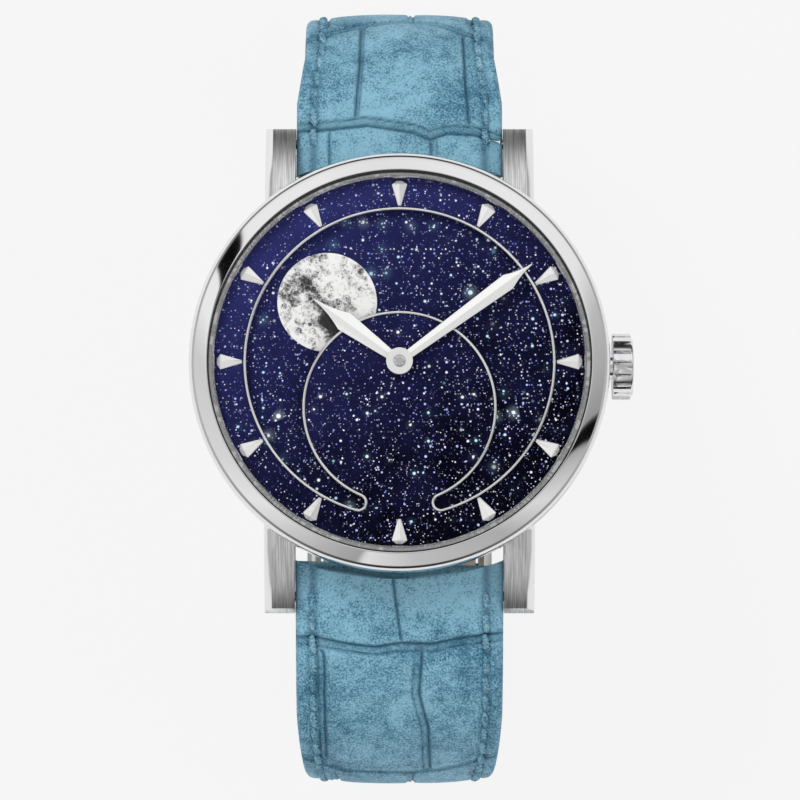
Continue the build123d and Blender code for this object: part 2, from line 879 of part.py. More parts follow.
def make_moon_driver():
    """The wheel and pinion between the hour wheel and the moon disc."""
    phase = mesh_phase(0, hour_leaves, moon_wheel_teeth, moon_wheel_angle)
    with BuildPart() as moon_driver:
        gear(moon_wheel_teeth, moon_wheel_module, phase, moon_wheel_centre, level(2), level(3) - level_gap)
        gear(moon_leaves, moon_module, 0, moon_wheel_centre, level(3) - level_gap, level(4))
        disc(pin_radius / 2 + screw_gap, level(2), level(4), moon_wheel_centre, Mode.SUBTRACT)
    moon_driver.part.label = "moon_driver"
    export_step(moon_driver.part, "parts/moon_driver.step")


def make_moon_gear():
    """The toothed ring under the sky disc."""
    phase = mesh_phase(0, moon_leaves, moon_teeth, moon_wheel_angle + 180)
    with BuildPart() as moon_gear:
        gear(moon_teeth, moon_module, phase, axis_place, level(3), disc_bottom)
        disc(hour_pipe + dial_gap, level(3), disc_bottom, mode=Mode.SUBTRACT)
    moon_gear.part.label = "moon_gear"
    export_step(moon_gear.part, "parts/moon_gear.step")


def pillars(angles, low, high, bore=False):
    """The feet of a bridge around the plate's edge, or the screw holes through them."""
    for angle in angles:
        spot = polar(axis_place, pillar_circle, angle)
        if bore:
            disc(screw_radius + screw_gap, low, high, spot, Mode.SUBTRACT)
        else:
            disc(pillar_radius, low, high, spot)


def winding_slot(start, end, radius, low, high):
    """A slot along the stem for the pinions on it, in the piece being built."""
    with BuildSketch(Plane.XY.offset(low)) as slot:
        with Locations(((start + end) / 2, 0)):
            Rectangle(end - start + 4 * fit_gap, 2 * (radius + fit_gap))
    extrude(slot.sketch, amount=high - low, mode=Mode.SUBTRACT)


barrel_bridge_feet = (30, 100, 150, 347)
train_bridge_feet = (185, 240, 268)
cock_foot = polar(axis_place, pillar_circle - pillar_radius / 3, cock_foot_angle)
screw_depth = plate_bottom + pivot_depth
centre_top = minute_hand_low - level_gap


def make_main_plate():
    """The plate that carries the train on its back and the motion work on its face."""
    arbors = (third_place, fourth_place, escape_place, pallet_place, balance_place)
    pocket = stem_height + winding_radius + fit_gap
    with BuildPart() as main_plate:
        disc(plate_radius, plate_bottom, plate_top)
        disc(arbor_radius + fit_gap, plate_bottom, plate_top, mode=Mode.SUBTRACT)
        for spot in arbors:
            disc(pivot_hole, plate_bottom, plate_bottom + pivot_depth, spot, Mode.SUBTRACT)
        disc(pin_radius + fit_gap, plate_bottom, plate_bottom + pivot_depth, barrel_place, Mode.SUBTRACT)
        pillars(barrel_bridge_feet + train_bridge_feet, plate_bottom, screw_depth, bore=True)
        disc(screw_radius + screw_gap, plate_bottom, screw_depth, cock_foot, Mode.SUBTRACT)
        disc(pin_radius / 2, plate_top, level(2) - level_gap, minute_place)
        disc(pin_radius / 2, plate_top, level(4) - level_gap, moon_wheel_centre)
        winding_slot(stem_end, stem_shoulder, winding_radius, plate_bottom, pocket)
    main_plate.part.label = "main_plate"
    export_step(main_plate.part, "parts/main_plate.step")


def make_movement_ring():
    """The ring that centres the movement in the case."""
    with BuildPart() as movement_ring:
        disc(movement_bore - fit_gap, bridge_bottom, plate_top)
        disc(plate_radius + fit_gap, bridge_bottom, plate_top, mode=Mode.SUBTRACT)
        rod(stem_radius + soft_gap, 0, movement_bore, Mode.SUBTRACT)
    movement_ring.part.label = "movement_ring"
    export_step(movement_ring.part, "parts/movement_ring.step")


def make_barrel():
    """The toothed drum that holds the mainspring."""
    low = bridge_top + gasket_height / 2
    high = low + barrel_rise_share * bridge_thickness
    phase = mesh_phase(0, centre_leaves, barrel_teeth, barrel_angle)
    with BuildPart() as barrel:
        disc(drum_radius, low, high, barrel_place)
        gear(barrel_teeth, barrel_module, phase, barrel_place, low + fit_gap, low + fit_gap + drum_wall)
        disc(
            drum_radius - drum_wall, low + drum_wall, high - drum_wall / 2, barrel_place, Mode.SUBTRACT
        )
        disc(barrel_arbor + fit_gap, low, high, barrel_place, Mode.SUBTRACT)
    barrel.part.label = "barrel"
    export_step(barrel.part, "parts/barrel.step")


def make_barrel_arbor():
    """The arbor that the ratchet wheel winds."""
    with BuildPart() as barrel_arbor_piece:
        disc(barrel_arbor, ratchet_bottom, plate_bottom - fit_gap, barrel_place)
        disc(pin_radius, plate_bottom - fit_gap, plate_bottom + pivot_depth - fit_gap, barrel_place)
    barrel_arbor_piece.part.label = "barrel_arbor"
    export_step(barrel_arbor_piece.part, "parts/barrel_arbor.step")


def spiral(start, pitch, turns, thickness, centre, low, height, phase):
    """A flat spiral spring of square-cut strip, in the piece being built."""
    steps = 12
    outer = []
    inner = []
    for index in range(turns * steps + 1):
        angle = phase + 360 * index / steps
        radius = start + pitch * index / steps
        outer.append(polar(centre, radius + thickness / 2, angle))
        inner.append(polar(centre, radius - thickness / 2, angle))
    with BuildSketch(Plane.XY.offset(low)) as section:
        with BuildLine():
            outside = Spline(*outer)
            inside = Spline(*inner)
            Line(outside @ 0, inside @ 0)
            Line(outside @ 1, inside @ 1)
        make_face()
    extrude(section.sketch, amount=height)
    print("spiral", "turns", turns, "least gap", round(pitch - thickness, 3))


def make_mainspring():
    """The strip coiled in the barrel."""
    low = bridge_top + gasket_height / 2 + drum_wall + fit_gap
    height = bridge_thickness / 2 + fit_gap
    start = barrel_arbor + 2 * pipe_gap + spring_thickness
    turns = int((drum_radius - drum_wall - start - spring_gap / 2) / (spring_thickness + spring_gap))
    with BuildPart() as mainspring:
        spiral(start, spring_thickness + spring_gap, turns, spring_thickness, barrel_place, low, height, 0)
    mainspring.part.label = "mainspring"
    export_step(mainspring.part, "parts/mainspring.step")


def make_barrel_bridge():
    """The bridge over the barrel and the winding wheels, with the click's pin."""
    edge_x, edge_y, far_y = 2.4, 4.4, 2.2
    outline_shares = ((-1, far_y / bridge_radius), (-edge_x / bridge_radius, far_y / bridge_radius),
                      (-edge_x / bridge_radius, -edge_y / bridge_radius), (1, -edge_y / bridge_radius),
                      (1, 1), (-1, 1))
    pocket_radius = crown_wheel_teeth / 2 * ratchet_module + ratchet_module + fit_gap
    pocket_top = stem_height - winding_radius - level_gap + fit_gap
    with BuildPart() as barrel_bridge:
        with BuildSketch(Plane.XY.offset(bridge_bottom)):
            Circle(bridge_radius)
            with BuildLine():
                Polyline(*[(x * bridge_radius, y * bridge_radius) for x, y in outline_shares], close=True)
            make_face(mode=Mode.INTERSECT)
        extrude(amount=bridge_thickness)
        pillars(barrel_bridge_feet, bridge_top, plate_bottom)
        pillars(barrel_bridge_feet, bridge_bottom, plate_bottom, bore=True)
        disc(barrel_arbor + fit_gap, bridge_bottom, bridge_top, barrel_place, Mode.SUBTRACT)
        disc(pocket_radius, bridge_bottom, pocket_top, crown_wheel_centre, Mode.SUBTRACT)
        disc(pin_radius, ratchet_bottom, pocket_top, crown_wheel_centre)
        disc(pivot_hole, bridge_bottom + pivot_depth / 3, bridge_top, mode=Mode.SUBTRACT)
        disc(pin_radius / 2, ratchet_bottom, bridge_bottom, click_place)
        clutch_start = stem_shoulder - winding_length - fit_gap
        winding_slot(clutch_start, stem_shoulder, winding_radius, bridge_bottom, bridge_top)
        winding_slot(
            stem_end, clutch_start, clutch_radius, stem_height - clutch_radius - fit_gap, bridge_top
        )
    barrel_bridge.part.label = "barrel_bridge"
    export_step(barrel_bridge.part, "parts/barrel_bridge.step")


def make_train_bridge():
    """The bridge over the third, fourth and escape wheels."""
    near_x, far_x, near_y, edge_y = 2.6, 0.4, 2.0, 4.6
    corners = ((-bridge_radius, near_y), (-near_x, near_y), (-near_x, -edge_y), (far_x, -edge_y),
               (far_x, -bridge_radius), (-bridge_radius, -bridge_radius))
    with BuildPart() as train_bridge:
        with BuildSketch(Plane.XY.offset(bridge_bottom)):
            Circle(bridge_radius)
            with BuildLine():
                Polyline(*corners, close=True)
            make_face(mode=Mode.INTERSECT)
        extrude(amount=bridge_thickness)
        pillars(train_bridge_feet, bridge_top, plate_bottom)
        pillars(train_bridge_feet, bridge_bottom, plate_bottom, bore=True)
        for spot in (third_place, fourth_place, escape_place):
            disc(jewel_radius, bridge_bottom, bridge_top, spot, Mode.SUBTRACT)
    train_bridge.part.label = "train_bridge"
    export_step(train_bridge.part, "parts/train_bridge.step")


def make_balance_cock():
    """The cock that carries the balance, on one foot."""
    head = jewel_radius * 3
    with BuildPart() as balance_cock:
        with BuildSketch(Plane.XY.offset(bridge_bottom)):
            with Locations(balance_place):
                Circle(head)
            with Locations(cock_foot):
                Circle(pillar_radius)
            make_hull()
        extrude(amount=bridge_thickness)
        disc(pillar_radius, bridge_top, plate_bottom, cock_foot)
        disc(screw_radius + screw_gap, bridge_bottom, plate_bottom, cock_foot, Mode.SUBTRACT)
        disc(jewel_radius, bridge_bottom, bridge_top, balance_place, Mode.SUBTRACT)
    balance_cock.part.label = "balance_cock"
    export_step(balance_cock.part, "parts/balance_cock.step")


def make_jewels():
    """The ruby bearings in the train bridge and the balance cock."""
    with BuildPart() as jewels:
        for spot in (third_place, fourth_place, escape_place, balance_place):
            disc(jewel_radius, bridge_bottom, bridge_bottom + jewel_height, spot)
            disc(pivot_hole, bridge_bottom, bridge_bottom + jewel_height, spot, Mode.SUBTRACT)
    jewels.part.label = "jewels"
    export_step(jewels.part, "parts/jewels.step")


def make_bridge_screws():
    """The screws of the bridges and the cock."""
    spots = [polar(axis_place, pillar_circle, angle) for angle in barrel_bridge_feet + train_bridge_feet]
    with BuildPart() as bridge_screws:
        for spot in spots + [cock_foot]:
            disc(screw_head, bridge_bottom - screw_head_height, bridge_bottom, spot)
            disc(screw_radius, bridge_bottom, screw_depth - fit_gap, spot)
    bridge_screws.part.label = "bridge_screws"
    export_step(bridge_screws.part, "parts/bridge_screws.step")


# Levels of the train, counted from the plate down
centre_level = plate_bottom - centre_level_share * wheel_thickness - wheel_thickness
fourth_level = centre_level - fourth_level_share * wheel_thickness
third_level = fourth_level - third_level_share * wheel_thickness
barrel_level = bridge_top + gasket_height / 2 + fit_gap
pivot_low = bridge_bottom + fit_gap
pivot_high = plate_bottom + pivot_depth - fit_gap
arbor_low = bridge_top + fit_gap
arbor_high = plate_bottom - fit_gap


def make_centre_wheel():
    """The wheel on the dial's axis, whose arbor carries the cannon pinion."""
    reach = centre_teeth / 2 * third_module
    with BuildPart() as centre_wheel:
        gear(centre_teeth, third_module, 0, axis_place, centre_level, centre_level + wheel_thickness)
        crossings(reach, axis_place, centre_level, centre_level + wheel_thickness)
        gear(centre_leaves, barrel_module, 0, axis_place, arbor_low, third_level - level_gap)
        disc(arbor_radius, arbor_low, centre_top)
        disc(pivot_radius, bridge_bottom + pivot_depth / 3, arbor_low)
    centre_wheel.part.label = "centre_wheel"
    export_step(centre_wheel.part, "parts/centre_wheel.step")


def make_third_wheel():
    """The wheel and pinion between the centre and fourth wheels."""
    phase = mesh_phase(0, centre_teeth, third_leaves, third_angle)
    reach = third_teeth / 2 * fourth_module
    with BuildPart() as third_wheel:
        gear(third_teeth, fourth_module, 0, third_place, third_level, third_level + wheel_thickness)
        crossings(reach, third_place, third_level, third_level + wheel_thickness)
        gear(third_leaves, third_module, phase, third_place, centre_level - fit_gap, arbor_high)
        staff(third_place, pivot_low, pivot_high, arbor_low, arbor_high)
    third_wheel.part.label = "third_wheel"
    export_step(third_wheel.part, "parts/third_wheel.step")


def make_fourth_wheel():
    """The wheel and pinion between the third wheel and the escape wheel."""
    phase = mesh_phase(0, third_teeth, fourth_leaves, fourth_angle)
    reach = fourth_teeth / 2 * escape_module
    with BuildPart() as fourth_wheel:
        gear(fourth_teeth, escape_module, 0, fourth_place, fourth_level, fourth_level + wheel_thickness)
        crossings(reach, fourth_place, fourth_level, fourth_level + wheel_thickness)
        gear(
            fourth_leaves, fourth_module, phase, fourth_place, third_level - fit_gap,
            third_level + wheel_thickness,
        )
        staff(fourth_place, pivot_low, pivot_high, arbor_low, arbor_high, pivot_radius * 2)
    fourth_wheel.part.label = "fourth_wheel"
    export_step(fourth_wheel.part, "parts/fourth_wheel.step")


def make_escape_wheel():
    """The club-toothed wheel that the pallets stop and release."""
    phase = mesh_phase(0, fourth_teeth, escape_leaves, escape_angle)
    pitch = 360 / escape_teeth
    root_share, lean_share, tip_share = 0.78, 0.35, 0.455
    points = []
    for index in range(escape_teeth):
        points.append(polar(escape_place, escape_radius * root_share, index * pitch))
        points.append(polar(escape_place, escape_radius, (index + lean_share) * pitch))
        points.append(polar(escape_place, escape_radius, (index + tip_share) * pitch))
    low = centre_level - fit_gap
    with BuildPart() as escape_wheel:
        with BuildSketch(Plane.XY.offset(low)):
            with BuildLine():
                Polyline(*points, close=True)
            make_face()
        extrude(amount=wheel_thickness)
        crossings(escape_radius * root_share, escape_place, low, low + wheel_thickness)
        gear(
            escape_leaves, escape_module, phase, escape_place, fourth_level, fourth_level + wheel_thickness,
        )
        staff(escape_place, pivot_low, pivot_high, arbor_low, arbor_high, pivot_radius * 2)
    escape_wheel.part.label = "escape_wheel"
    export_step(escape_wheel.part, "parts/escape_wheel.step")


def pallet_point(along, across):
    """A point in the escapement's own frame, along and across the line to the balance."""
    along_point = polar(pallet_place, along, pallet_angle)
    return polar(along_point, across, pallet_angle + 90)


def make_pallet_fork():
    """The lever between escape wheel and balance, with its two stones."""
    low = centre_level - fit_gap
    width = pallet_width_share * wheel_thickness
    reach = balance_distance - roller_radius - screw_gap - 2 * pipe_gap
    stone_along, stone_across = -0.65, 1.25
    horn = horn_share * roller_radius
    with BuildPart() as pallet_fork:
        for side in (-1, 1):
            with BuildSketch(Plane.XY.offset(low)) as arm:
                with Locations(pallet_place):
                    Circle(width)
                with Locations(pallet_point(stone_along, side * stone_across)):
                    Circle(width / 2)
                make_hull()
            extrude(arm.sketch, amount=wheel_thickness)
        with BuildSketch(Plane.XY.offset(low)) as lever:
            with BuildLine():
                Polyline(
                    pallet_point(0, width / 2), pallet_point(reach - horn, width / 2),
                    pallet_point(reach - horn, horn), pallet_point(reach, horn),
                    pallet_point(reach, pivot_radius), pallet_point(reach - horn / 2, pivot_radius),
                    pallet_point(reach - horn / 2, -pivot_radius), pallet_point(reach, -pivot_radius),
                    pallet_point(reach, -horn), pallet_point(reach - horn, -horn),
                    pallet_point(reach - horn, -width / 2), pallet_point(0, -width / 2), close=True,
                )
            make_face()
        extrude(lever.sketch, amount=wheel_thickness)
        disc(pivot_radius * pallet_arbor_share, low - level_gap, arbor_high, pallet_place)
        disc(pivot_radius * pallet_pivot_share, low - wheel_thickness, pivot_high, pallet_place)
    pallet_fork.part.label = "pallet_fork"
    export_step(pallet_fork.part, "parts/pallet_fork.step")


def make_pallet_bridge():
    """The small bridge over the pallet fork, between it and the balance."""
    high = centre_level - fit_gap - 2 * level_gap
    low = high - wheel_thickness
    span = 3.0
    feet = (pallet_point(0, span), pallet_point(0, -span))
    with BuildPart() as pallet_bridge:
        for foot in feet:
            with BuildSketch(Plane.XY.offset(low)) as half:
                with Locations(pallet_place):
                    Circle(jewel_radius)
                with Locations(foot):
                    Circle(screw_head)
                make_hull()
            extrude(half.sketch, amount=wheel_thickness)
            disc(screw_head, high, plate_bottom, foot)
        disc(pivot_hole, low, high, pallet_place, Mode.SUBTRACT)
    pallet_bridge.part.label = "pallet_bridge"
    export_step(pallet_bridge.part, "parts/pallet_bridge.step")


balance_low = bridge_top + balance_level_share * bridge_thickness
spring_low = bridge_top + spring_level_share * bridge_thickness


def make_balance_wheel():
    """The balance with its rim, arms, roller, impulse pin and staff."""
    fork_low = centre_level - fit_gap
    arm_width = arm_share * wheel_thickness
    with BuildPart() as balance_wheel:
        disc(balance_radius, balance_low, balance_low + balance_height, balance_place)
        disc(
            balance_radius - balance_rim, balance_low, balance_low + balance_height,
            balance_place, Mode.SUBTRACT
        )
        for index in range(balance_arms):
            end = polar(balance_place, balance_radius - balance_rim / 2,
                arm_angle + index * 360 / balance_arms)
            with BuildSketch(Plane.XY.offset(balance_low)) as arm:
                with Locations(balance_place, end):
                    Circle(arm_width / 2)
                make_hull()
            extrude(arm.sketch, amount=wheel_thickness)
        staff(balance_place, pivot_low, pivot_high, spring_low, arbor_high)
        disc(roller_radius, arbor_high - wheel_thickness / 2, arbor_high, balance_place)
        pin = polar(balance_place, impulse_place, pallet_angle + 180)
        disc(pivot_radius, fork_low, arbor_high, pin)
    balance_wheel.part.label = "balance_wheel"
    export_step(balance_wheel.part, "parts/balance_wheel.step")


def make_hairspring():
    """The flat spiral that swings the balance back."""
    start = arbor_radius + pipe_gap + spring_thickness / 2
    with BuildPart() as hairspring:
        spiral(
            start, spring_thickness / 2 + spring_gap, 5, spring_thickness / 2,
            balance_place, spring_low, wheel_thickness, pallet_angle,
        )
    hairspring.part.label = "hairspring"
    export_step(hairspring.part, "parts/hairspring.step")


def make_ratchet_wheel():
    """The wheel on the barrel's arbor that the crown wheel winds."""
    direction = math.degrees(math.atan2(barrel_place[1], barrel_place[0] - crown_wheel_place))
    phase = mesh_phase(0, crown_wheel_teeth, ratchet_teeth, direction)
    with BuildPart() as ratchet_wheel:
        gear(
            ratchet_teeth, ratchet_module, phase, barrel_place, ratchet_bottom,
            ratchet_bottom + ratchet_thickness,
        )
        disc(barrel_arbor, ratchet_bottom, ratchet_bottom + ratchet_thickness, barrel_place, Mode.SUBTRACT)
    ratchet_wheel.part.label = "ratchet_wheel"
    export_step(ratchet_wheel.part, "parts/ratchet_wheel.step")


def make_crown_wheel():
    """The wheel that carries the stem's turning to the ratchet wheel."""
    top = stem_height - winding_radius - 2 * level_gap
    with BuildPart() as crown_wheel:
        gear(crown_wheel_teeth, ratchet_module, 0, crown_wheel_centre, ratchet_bottom, top)
        disc(pin_radius + fit_gap, ratchet_bottom, top, crown_wheel_centre, Mode.SUBTRACT)
    crown_wheel.part.label = "crown_wheel"
    export_step(crown_wheel.part, "parts/crown_wheel.step")


click_reach = (ratchet_teeth / 2 + 1) * ratchet_module + fit_gap
click_place = polar(barrel_place, click_reach + click_offset, click_angle)


def make_click():
    """The pawl that keeps the ratchet wheel from turning back."""
    nose_radius = wheel_thickness
    nose = polar(barrel_place, click_reach + nose_radius, click_nose_angle)
    with BuildPart() as click:
        with BuildSketch(Plane.XY.offset(ratchet_bottom)):
            with Locations(click_place):
                Circle(pin_radius * click_boss_share)
            with Locations(nose):
                Circle(nose_radius)
            make_hull()
        extrude(amount=ratchet_thickness)
        disc(pin_radius / 2 + fit_gap, ratchet_bottom, bridge_bottom, click_place, Mode.SUBTRACT)
    click.part.label = "click"
    export_step(click.part, "parts/click.step")


def make_rotor():
    """The half-round weight that winds the watch, with a heavy rim."""
    web = rotor_top - rotor_web
    rim_low = rotor_top - rotor_depth
    hub = bearing_radius + rotor_web * 4
    with BuildPart() as rotor:
        with BuildSketch(Plane.XY.offset(web)) as plate:
            Circle(rotor_radius)
            with Locations((0, rotor_radius)):
                Rectangle(2 * rotor_radius, 2 * rotor_radius, mode=Mode.SUBTRACT)
            Circle(hub)
        extrude(plate.sketch, amount=rotor_web)
        with BuildSketch(Plane.XY.offset(rim_low)) as weight:
            Circle(rotor_radius)
            Circle(rotor_radius - rotor_rim, mode=Mode.SUBTRACT)
            with Locations((0, rotor_radius)):
                Rectangle(2 * rotor_radius, 2 * rotor_radius, mode=Mode.SUBTRACT)
        extrude(weight.sketch, amount=rotor_depth)
        disc(bearing_radius + fit_gap, rim_low, rotor_top, mode=Mode.SUBTRACT)
    rotor.part.label = "rotor"
    export_step(rotor.part, "parts/rotor.step")


def make_rotor_bearing():
    """The bearing on the bridge that the rotor turns on."""
    low = rotor_top - rotor_web - level_gap
    with BuildPart() as rotor_bearing:
        disc(bearing_radius, low, bridge_bottom)
        disc(bearing_radius + 3 * fit_gap, low - rotor_web, low)
    rotor_bearing.part.label = "rotor_bearing"
    export_step(rotor_bearing.part, "parts/rotor_bearing.step")


# Heights of the closed loop's flat foot, from the plane it stands on
tail_outer = cross_bar_height + soft_gap
tail_inner = tail_outer + strap_tail_thickness
upper_outer = tail_inner + soft_gap
upper_inner = upper_outer + strap_tail_thickness
buckle_bar_height = (upper_outer + upper_inner) / 2
droop_sine = math.sin(math.radians(strap_droop))
droop_cosine = math.cos(math.radians(strap_droop))
strap_top = bar_height + strap_lug_thickness / 2 / droop_cosine
strap_top += (bar_place - strap_root) * droop_sine / droop_cosine


def shoulder_arc(reach):
    """The radius of the bend beside a lug and the height of the loop's widest place."""
    radius = (reach - strap_root - strap_droop_length * droop_cosine) / (1 - droop_sine)
    return radius, strap_top - strap_droop_length * droop_sine - radius * droop_cosine


bend_sine = math.sin(math.radians(upper_bend))
bend_cosine = math.cos(math.radians(upper_bend))
upper_shoulder, upper_widest = shoulder_arc(reach_upper)
lower_shoulder, lower_widest = shoulder_arc(reach_lower)
upper_bend_radius = (upper_widest - upper_outer - foot_radius * (1 - bend_sine)) / bend_sine
lower_foot_radius = lower_widest - tail_outer
foot_start = reach_upper - upper_bend_radius * (1 - bend_cosine) - foot_radius * bend_cosine


def upper_outer_path():
    """The outer face of the upper strap from its lug to its flat foot."""
    start = (strap_root, strap_top)
    droop = Line(start, (strap_root + strap_droop_length * droop_cosine,
                         strap_top - strap_droop_length * droop_sine))
    shoulder = JernArc(droop @ 1, droop % 1, upper_shoulder, strap_droop - 90)
    side = JernArc(shoulder @ 1, shoulder % 1, upper_bend_radius, -upper_bend)
    foot = JernArc(side @ 1, side % 1, foot_radius, upper_bend - 90)
    return [droop, shoulder, side, foot]


def lower_outer_path():
    """The outer face of the lower strap from its lug to its flat foot."""
    start = (-strap_root, strap_top)
    droop = Line(start, (-strap_root - strap_droop_length * droop_cosine,
                         strap_top - strap_droop_length * droop_sine))
    shoulder = JernArc(droop @ 1, droop % 1, lower_shoulder, 90 - strap_droop)
    foot = JernArc(shoulder @ 1, shoulder % 1, lower_foot_radius, 90)
    return [droop, shoulder, foot]


def inside_points(path, inward, cover):
    """Points inside a strap's outer face, by its thickness less a cover, from the lug to the foot."""
    thick_shares = (
        (0, 1),
        (0.08, 1), (0.2, 0.92), (0.35, 0.72), (0.5, 0.48), (0.65, 0.24), (0.8, 0.06), (0.9, 0), (1, 0),
    )
    wire = Wire(path)
    points = []
    for place, share in thick_shares:
        thickness = strap_tail_thickness + (strap_lug_thickness - strap_tail_thickness) * share - cover
        spot = wire.position_at(place)
        heading = wire.tangent_at(place)
        points.append((spot.X - inward * heading.Y * thickness, spot.Y + inward * heading.X * thickness))
    return points


def trim_waist(half_wide, half_waist):
    """Narrows the buckle half soon after the lugs, in plan."""
    start = bar_place + waist_gap
    end = start + waist_length
    far = end + reach_upper
    with BuildSketch(Plane.XY) as plan:
        with BuildLine():
            Polyline(
                (-half_wide, -reach_lower), (half_wide, -reach_lower), (half_wide, start), (half_waist, end),
                (half_waist, far), (-half_waist, far), (-half_waist, end), (-half_wide, start), close=True,
            )
        make_face()
    extrude(plan.sketch, amount=2 * dial_height, both=True, mode=Mode.INTERSECT)


def trim_strap(side):
    """Narrows a strap towards its buckle end and hollows its end beside the case."""
    half_wide, half_narrow = strap_width / 2, strap_buckle_width / 2
    taper_top = bar_height - strap_lug_thickness
    with BuildSketch(Plane.XZ) as front:
        with BuildLine():
            Polyline(
                (-half_wide, dial_height), (half_wide, dial_height), (half_wide, taper_top),
                (half_narrow, upper_inner), (half_narrow, -overrun), (-half_narrow, -overrun),
                (-half_narrow, upper_inner), (-half_wide, taper_top), close=True,
            )
        make_face()
    extrude(front.sketch, amount=2 * reach_lower, both=True, mode=Mode.INTERSECT)
    if side > 0:
        trim_waist(half_wide, strap_waist_width / 2)
    with Locations((0, side * (strap_end_place - strap_end_radius), dial_height)):
        Cylinder(strap_end_radius, dial_height, mode=Mode.SUBTRACT)
    with Locations((0, side * bar_place, bar_height)):
        Cylinder(bar_radius + fit_gap, lug_gap, rotation=(0, 90, 0), mode=Mode.SUBTRACT)


upper_path = upper_outer_path()
lower_path = lower_outer_path()
tail_bend = foot_radius + soft_gap + strap_tail_thickness
tail_side = upper_bend_radius + soft_gap + strap_tail_thickness
tail_angle = math.degrees(tail_extra / tail_side)


def upper_inside(depth):
    """The upper strap's inner boundary at a depth short of its lining, from lug to buckle."""
    curve = Spline(*inside_points(upper_path, -1, depth))
    flat = Line(curve @ 1, (-buckle_bar_place + eye_radius, upper_inner - depth))
    return curve @ 0, flat @ 1


def lower_flat(start, depth):
    """The lower strap's boundary at a depth from its outer face, along the foot and up the tail."""
    flat = Line(start, (foot_start, tail_outer + depth))
    bend = JernArc(flat @ 1, (1, 0), tail_bend - depth, 90 - upper_bend)
    side = JernArc(bend @ 1, bend % 1, tail_side - depth, tail_angle)
    return side @ 1


def lower_inside(depth):
    """The lower strap's inner boundary at a depth short of its lining, from lug to tip."""
    curve = Spline(*inside_points(lower_path, 1, depth))
    tip = lower_flat(curve @ 1, strap_tail_thickness - depth)
    return curve @ 0, tip


def tongue_slot(low, high, half_width, bottom, top):
    """The slot that the tongue passes through, in the piece being built."""
    with BuildSketch(Plane.XY.offset(bottom)) as slot:
        with Locations((0, (low + high) / 2)):
            Rectangle(2 * half_width, high - low)
    extrude(slot.sketch, amount=top - bottom, mode=Mode.SUBTRACT)


tongue_slot_half = tongue_width / 2 + soft_gap + 2 * fit_gap


def buckle_bar_hole(radius, mode):
    """A disc across the strap around the buckle's bar, in the piece being built."""
    with Locations((0, -buckle_bar_place, buckle_bar_height)):
        Cylinder(radius, strap_buckle_width, rotation=(0, 90, 0), mode=mode)


def make_strap_upper():
    """The buckle half of the strap, whose end wraps round the buckle's bar."""
    with BuildPart() as strap_upper:
        with BuildSketch(Plane.YZ):
            with BuildLine():
                add(upper_path)
                inner_start, inner_end = upper_inside(lining_thickness)
                Polyline(
                    upper_path[-1] @ 1, (-buckle_bar_place, upper_outer),
                    (-buckle_bar_place, upper_inner - lining_thickness), inner_end,
                )
                Line(inner_start, upper_path[0] @ 0)
            make_face()
        extrude(amount=strap_width / 2, both=True)
        buckle_bar_hole((upper_inner - upper_outer) / 2, Mode.ADD)
        buckle_bar_hole(buckle_bar_radius + fit_gap, Mode.SUBTRACT)
        trim_strap(1)
        tongue_slot(
            -buckle_bar_place - 2 * eye_radius, -buckle_bar_place + 2 * eye_radius,
            tongue_slot_half, upper_outer, upper_inner,
        )
    strap_upper.part.label = "strap_upper"
    export_step(strap_upper.part, "parts/strap_upper.step")


def make_strap_upper_lining():
    """The lining of the buckle half, on the wrist's side."""
    with BuildPart() as strap_upper_lining:
        with BuildSketch(Plane.YZ):
            with BuildLine():
                near_start, near_end = upper_inside(0)
                far_start, far_end = upper_inside(lining_thickness)
                Line(near_start, far_start)
                Line(near_end, far_end)
            make_face()
        extrude(amount=strap_width / 2, both=True)
        trim_strap(1)
        tongue_slot(
            -buckle_bar_place - 2 * eye_radius, -buckle_bar_place + 2 * eye_radius,
            tongue_slot_half, upper_outer, upper_inner,
        )
    strap_upper_lining.part.label = "strap_upper_lining"
    export_step(strap_upper_lining.part, "parts/strap_upper_lining.step")


def finish_tail():
    """Cuts the tongue's slot and the spare holes, and rounds the tail's corners."""
    tongue_slot(
        tongue_neck - tongue_neck_width - soft_gap, -buckle_bar_place - eye_radius / 2,
        tongue_slot_half, tail_outer, tail_inner,
    )
    for index in range(tail_holes):
        place = tongue_neck - tongue_neck_width / 2 + (index - tail_holes_before) * tail_hole_pitch
        if index != tail_holes_before:
            disc(tail_hole_radius, tail_outer - soft_gap, tail_inner + soft_gap, (0, place), Mode.SUBTRACT)


tongue_neck = -buckle_bar_place - 2 * eye_radius


def round_tail(strap):
    """Rounds the two corners of the tail's end."""
    corners = strap.edges().filter_by(lambda edge: edge.length < strap_tail_thickness)
    fillet(corners.sort_by(Axis.Y)[-2:], radius=tail_tip_radius)


def make_strap_lower():
    """The half of the strap with the holes, through the buckle and both keepers."""
    with BuildPart() as strap_lower:
        with BuildSketch(Plane.YZ):
            with BuildLine():
                add(lower_path)
                outer_end = lower_flat(lower_path[-1] @ 1, 0)
                inner_start, inner_end = lower_inside(lining_thickness)
                Line(outer_end, inner_end)
                Line(inner_start, lower_path[0] @ 0)
            make_face()
        extrude(amount=strap_width / 2, both=True)
        trim_strap(-1)
        finish_tail()
        round_tail(strap_lower)
    strap_lower.part.label = "strap_lower"
    export_step(strap_lower.part, "parts/strap_lower.step")


